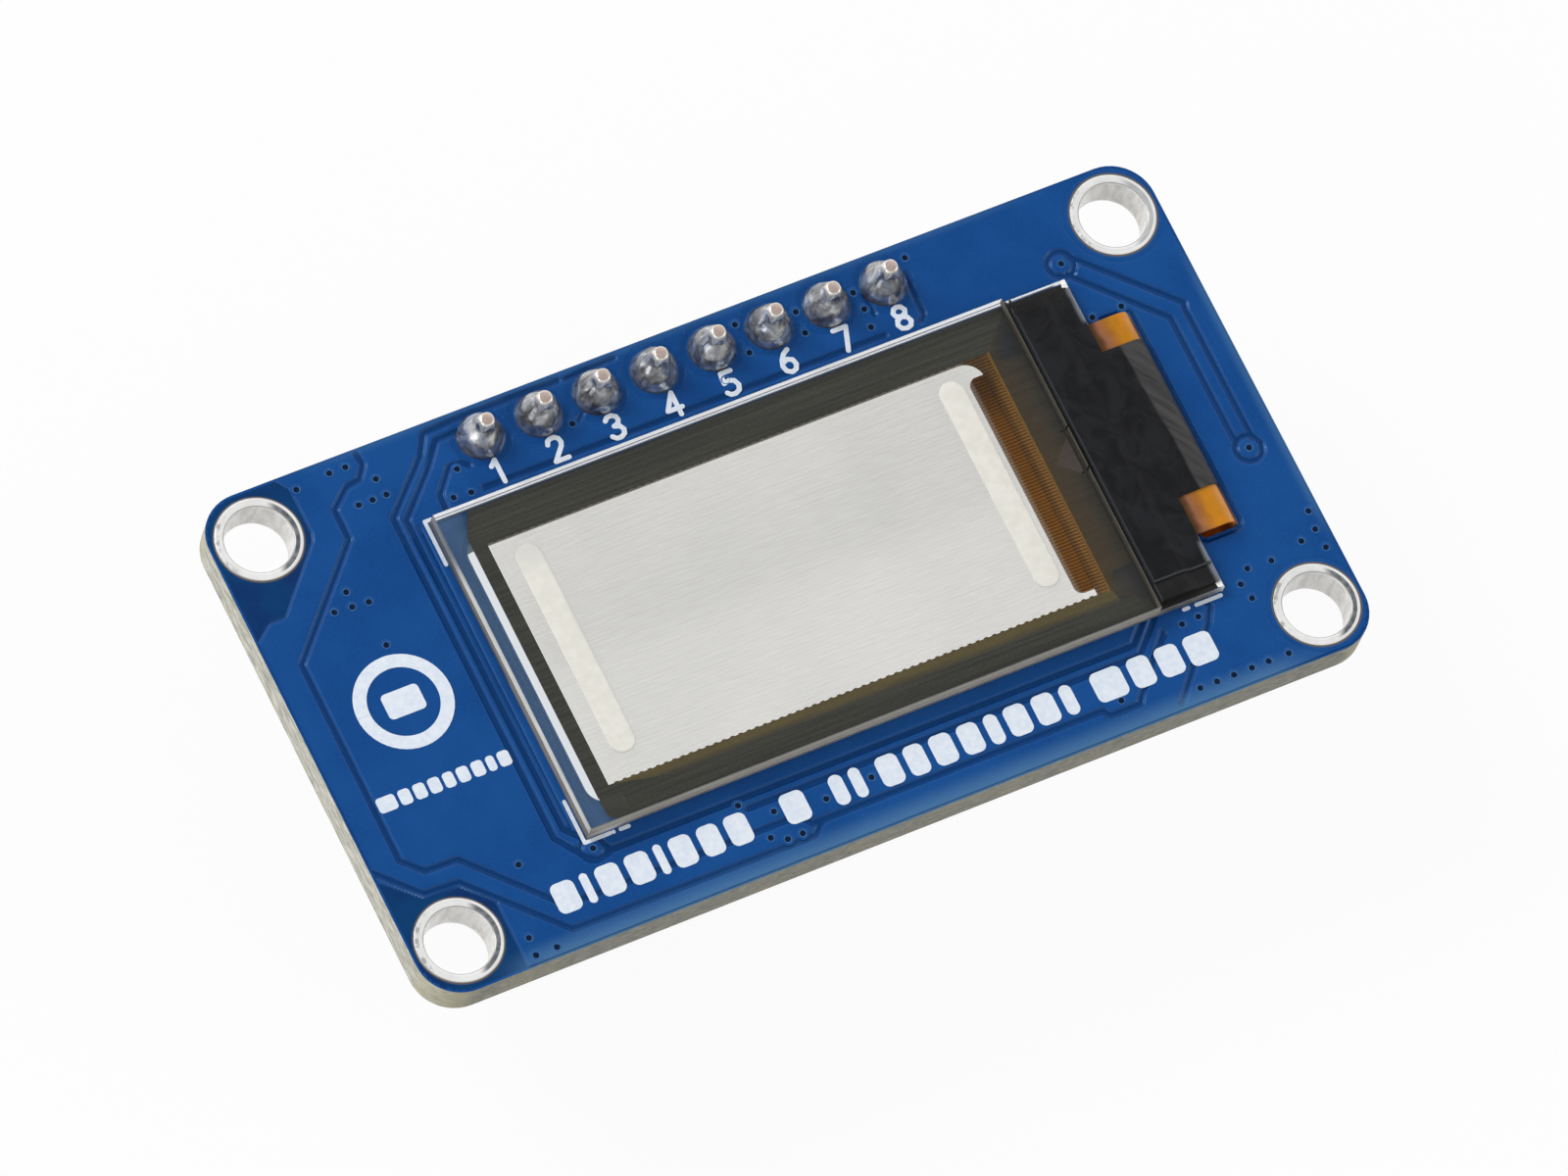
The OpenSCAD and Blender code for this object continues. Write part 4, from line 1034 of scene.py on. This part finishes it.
LEFT, RIGHT = PIXEL_LOW[0] - 0.02, 11.23
NEAR, FAR = PIXEL_LOW[1] - 0.02, PIXEL_HIGH[1] + 0.02
END, LAST = FILM_HIGH[0], COVER_HIGH[0] - 0.004
BROWN, SOFT, NIGHT, SLATE, BLOT = (92, 81, 50), (60, 60, 54), (42, 45, 50), (48, 50, 52), (24, 20, 15)
zones = [
    # painted light: a brown border along the field's near side, where light from below shows through the thin
    # film, fading out; and the film's cut corner
    ([(LEFT + 0.1, NEAR), (-9.0, NEAR - 0.2), (11.4, NEAR - 0.34), (11.35, NEAR)], BROWN),
    ([(LEFT + 0.1, NEAR), (-8.4, NEAR - 0.5), (11.5, NEAR - 0.62), (11.4, NEAR - 0.34), (-9.0, NEAR - 0.2)],
     BROWN, SOFT, SOFT, BROWN, BROWN),
    ([(FILM_LOW[0], -6.0), (FILM_LOW[0], -6.6), (FILM_LOW[0] + 0.08, -6.8), (FILM_LOW[0] + 0.28, FILM_LOW[1]),
      (-10.4, FILM_LOW[1]), (-10.4, -6.0)], (60, 61, 55)),
    # fan-out towards the driver chip, its two wings, and the wedge before the plug
    ([(RIGHT, NEAR), (END, NEAR - 1.2), (END, FAR + 1.25), (RIGHT, FAR)],
     (72, 56, 34), (60, 56, 48), (56, 55, 50), (64, 54, 36)),
    ([(RIGHT, FAR), (END, FAR + 1.25), (END, 4.85), (11.75, 4.85), (RIGHT + 0.1, FAR - 0.3)],
     (66, 60, 46), SLATE, NIGHT, NIGHT, (60, 52, 38)),
    ([(RIGHT + 0.1, NEAR), (END, NEAR - 1.15), (END, -4.85), (11.75, -4.85)],
     (66, 60, 46), SLATE, (44, 47, 52), NIGHT),
    ([(11.65, 0.05), (END, -0.8), (END, 0.95)], (70, 62, 54), (86, 78, 72), (80, 72, 66)),
    # amber line at the field's end, the plug's two ends, and the film's end under the glass
    ([(RIGHT, NEAR), (RIGHT + 0.06, NEAR), (RIGHT + 0.1, FAR), (RIGHT, FAR)], (120, 86, 28)),
    (quad(END - 0.14, END, PLUG[1] - 0.1, PLUG[1]), BLOT),
    (quad(END - 0.14, END, PLUG[0], PLUG[0] + 0.1), BLOT),
    (quad(END - 0.02, LAST, FILM_LOW[1], FILM_HIGH[1]), (48, 46, 41)),
]
# teeth along the field's two long sides, the near ones brown in the same painted light
for k in range(60):
    x0 = LEFT + 0.25 + k * 0.36
    if x0 < RIGHT - 0.3:
        zones.append((quad(x0, x0 + 0.17, FAR - 0.03, FAR + 0.02), (58, 56, 40)))
        zones.append((quad(x0, x0 + 0.17, NEAR - 0.02, NEAR + 0.035), (88, 76, 44)))
paint("film_zones", zones, FILM_HIGH[2] + PAINT_LIFT)

# the ledge round its sealant: dark squeeze-out along both sides, painted highlights where the bare glass ends,
# and white painted glints at its corners
X0, X1, X2 = COVER_HIGH[0] + 0.01, SEALANT_HIGH[0] - 0.02, PANEL_HIGH[0] - 0.035
Y0, Y1, Y2, Y3 = PANEL_LOW[1] + 0.05, 5.2, SEALANT_HIGH[1] - 0.02, PANEL_HIGH[1] - 0.2
DARK, GREY, PALE, WHITE = (32, 31, 28), (140, 144, 144), (186, 192, 194), (252, 252, 248)
# the first strip, lighter grey in the crevice against the cover's end, is painted light over its shade
ledge = [(quad(X0, SEALANT_LOW[0] + 0.02, -Y2, Y2), (60, 60, 62)),
         (quad(X0, X2 - 0.1, Y2, Y3), DARK),
         (quad(X0, X2 - 0.1, Y0, -Y2), DARK),
         ([(X1, Y1), (X2, Y1), (X2, Y3), (X1, Y3 - 0.3)], DARK, PALE, GREY, DARK),
         ([(X1, Y0 + 0.4), (X2, Y0), (X2, -Y1), (X1, -Y1)], DARK, GREY, PALE, DARK),
         ([(X2 - 0.24, Y3 - 0.12), (X2, Y3 - 0.2), (X2, Y3 + 0.16), (X2 - 0.2, Y3 + 0.16)], WHITE),
         ([(X2 - 0.22, Y0), (X2, Y0), (X2, Y0 + 0.26), (X2 - 0.26, Y0 + 0.2)], WHITE)]
for x0, x1 in ((X0 + 0.02, X0 + 0.24), (X0 + 0.36, X0 + 0.46)):
    ledge.append((quad(x0, x1, Y3 - 0.06, PANEL_HIGH[1] - 0.03), DARK))
paint("ledge_margin", ledge, PANEL_HIGH[2] + PAINT_LIFT)


# ---- stage, light, camera
def floor_material():
    """White to the camera and in reflections, with a soft shadow; clear from below."""
    g = Graph("floor")
    path = g.put("LightPath").outputs
    seen = g.most(g.most(path["Is Camera Ray"], path["Is Glossy Ray"]), path["Is Transmission Ray"])
    lit = g.put("BsdfDiffuse", {"Color": srgb(244, 244, 243)}).outputs[0]
    white = g.put("Emission", {"Color": WHITE_LIGHT, "Strength": 1.0}).outputs[0]
    above = g.blend(g.mul(seen, 0.93), lit, white)
    return g.done(g.blend(g.put("NewGeometry").outputs["Backfacing"], above, g.clear(WHITE_LIGHT)))


FLOOR_HALF, FLOOR_Z = 6, CAD_BOX[0][2] - 0.02 * MM
floor_mesh = bpy.data.meshes.new("floor")
floor_outline = quad(-FLOOR_HALF, FLOOR_HALF, -FLOOR_HALF, FLOOR_HALF)
floor_mesh.from_pydata(at(floor_outline, FLOOR_Z), [], [cap(0, 4)])
floor_mesh.materials.append(floor_material())
floor = bpy.data.objects.new("floor", floor_mesh)
scene.collection.objects.link(floor)
floor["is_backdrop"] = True

# the studio: 0.5 all round, 0.8 under a dim ceiling in reflections, and white to the camera
world = bpy.data.worlds.new("studio")
scene.world = world
world.use_nodes = True
sky = Tree(world.node_tree)
path = sky.put("LightPath").outputs
height = sky.put("SeparateXYZ", {0: sky.put("TexCoord").outputs["Generated"]}).outputs[2]
belt = sky.step(height, 0.62, 0.88, 0.8, 0.176)
strength = sky.put("Mix", {0: path["Is Glossy Ray"], 2: 0.5, 3: belt}).outputs[0]
for ray in ("Is Camera Ray", "Is Transmission Ray"):
    strength = sky.most(strength, path[ray])
glow = sky.put("Background", {"Color": WHITE_LIGHT, "Strength": strength}).outputs[0]
sky.put("OutputWorld", {0: glow})

# name, direction, distance, size and power of each lamp
for name, direction, distance, size, power in (("key", (-0.55, 0.7, 0.75), 0.9, 0.45, 4.2),
                                               ("fill", (0.9, -0.45, 0.6), 1.0, 0.6, 1.6),
                                               ("low", (-0.95, -0.3, 0.3), 0.9, 0.5, 1.3)):
    lamp = bpy.data.lights.new(name, "AREA")
    lamp.shape, lamp.size, lamp.size_y, lamp.energy = "RECTANGLE", size, size, power
    item = bpy.data.objects.new(name, lamp)
    item.location = Vector(direction).normalized() * distance
    item.rotation_euler = (-item.location).to_track_quat("-Z", "Y").to_euler()
    scene.collection.objects.link(item)

# the photo's viewing angle, from a camera fitted to the screw holes, pin ends and board edges
camera_data = bpy.data.cameras.new("camera")
camera_data.lens, camera_data.sensor_width = 344.0, 36.0
camera_data.clip_start, camera_data.clip_end = 0.05, 20.0
camera = bpy.data.objects.new("camera", camera_data)
scene.collection.objects.link(camera)
# its right, up and back directions
CAMERA_AXES = (0.88452, -0.43451, 0.16976), (0.34140, 0.85094, 0.39917), (-0.31790, -0.29512, 0.90102)
CAMERA_PLACE = (-186.02 * MM, -172.68 * MM, (525.70 + TOP) * MM)
camera.matrix_world = Matrix((*zip(*CAMERA_AXES, CAMERA_PLACE), (0, 0, 0, 1)))
scene.camera = camera
scene.view_settings.view_transform = "Standard"

low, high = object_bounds()
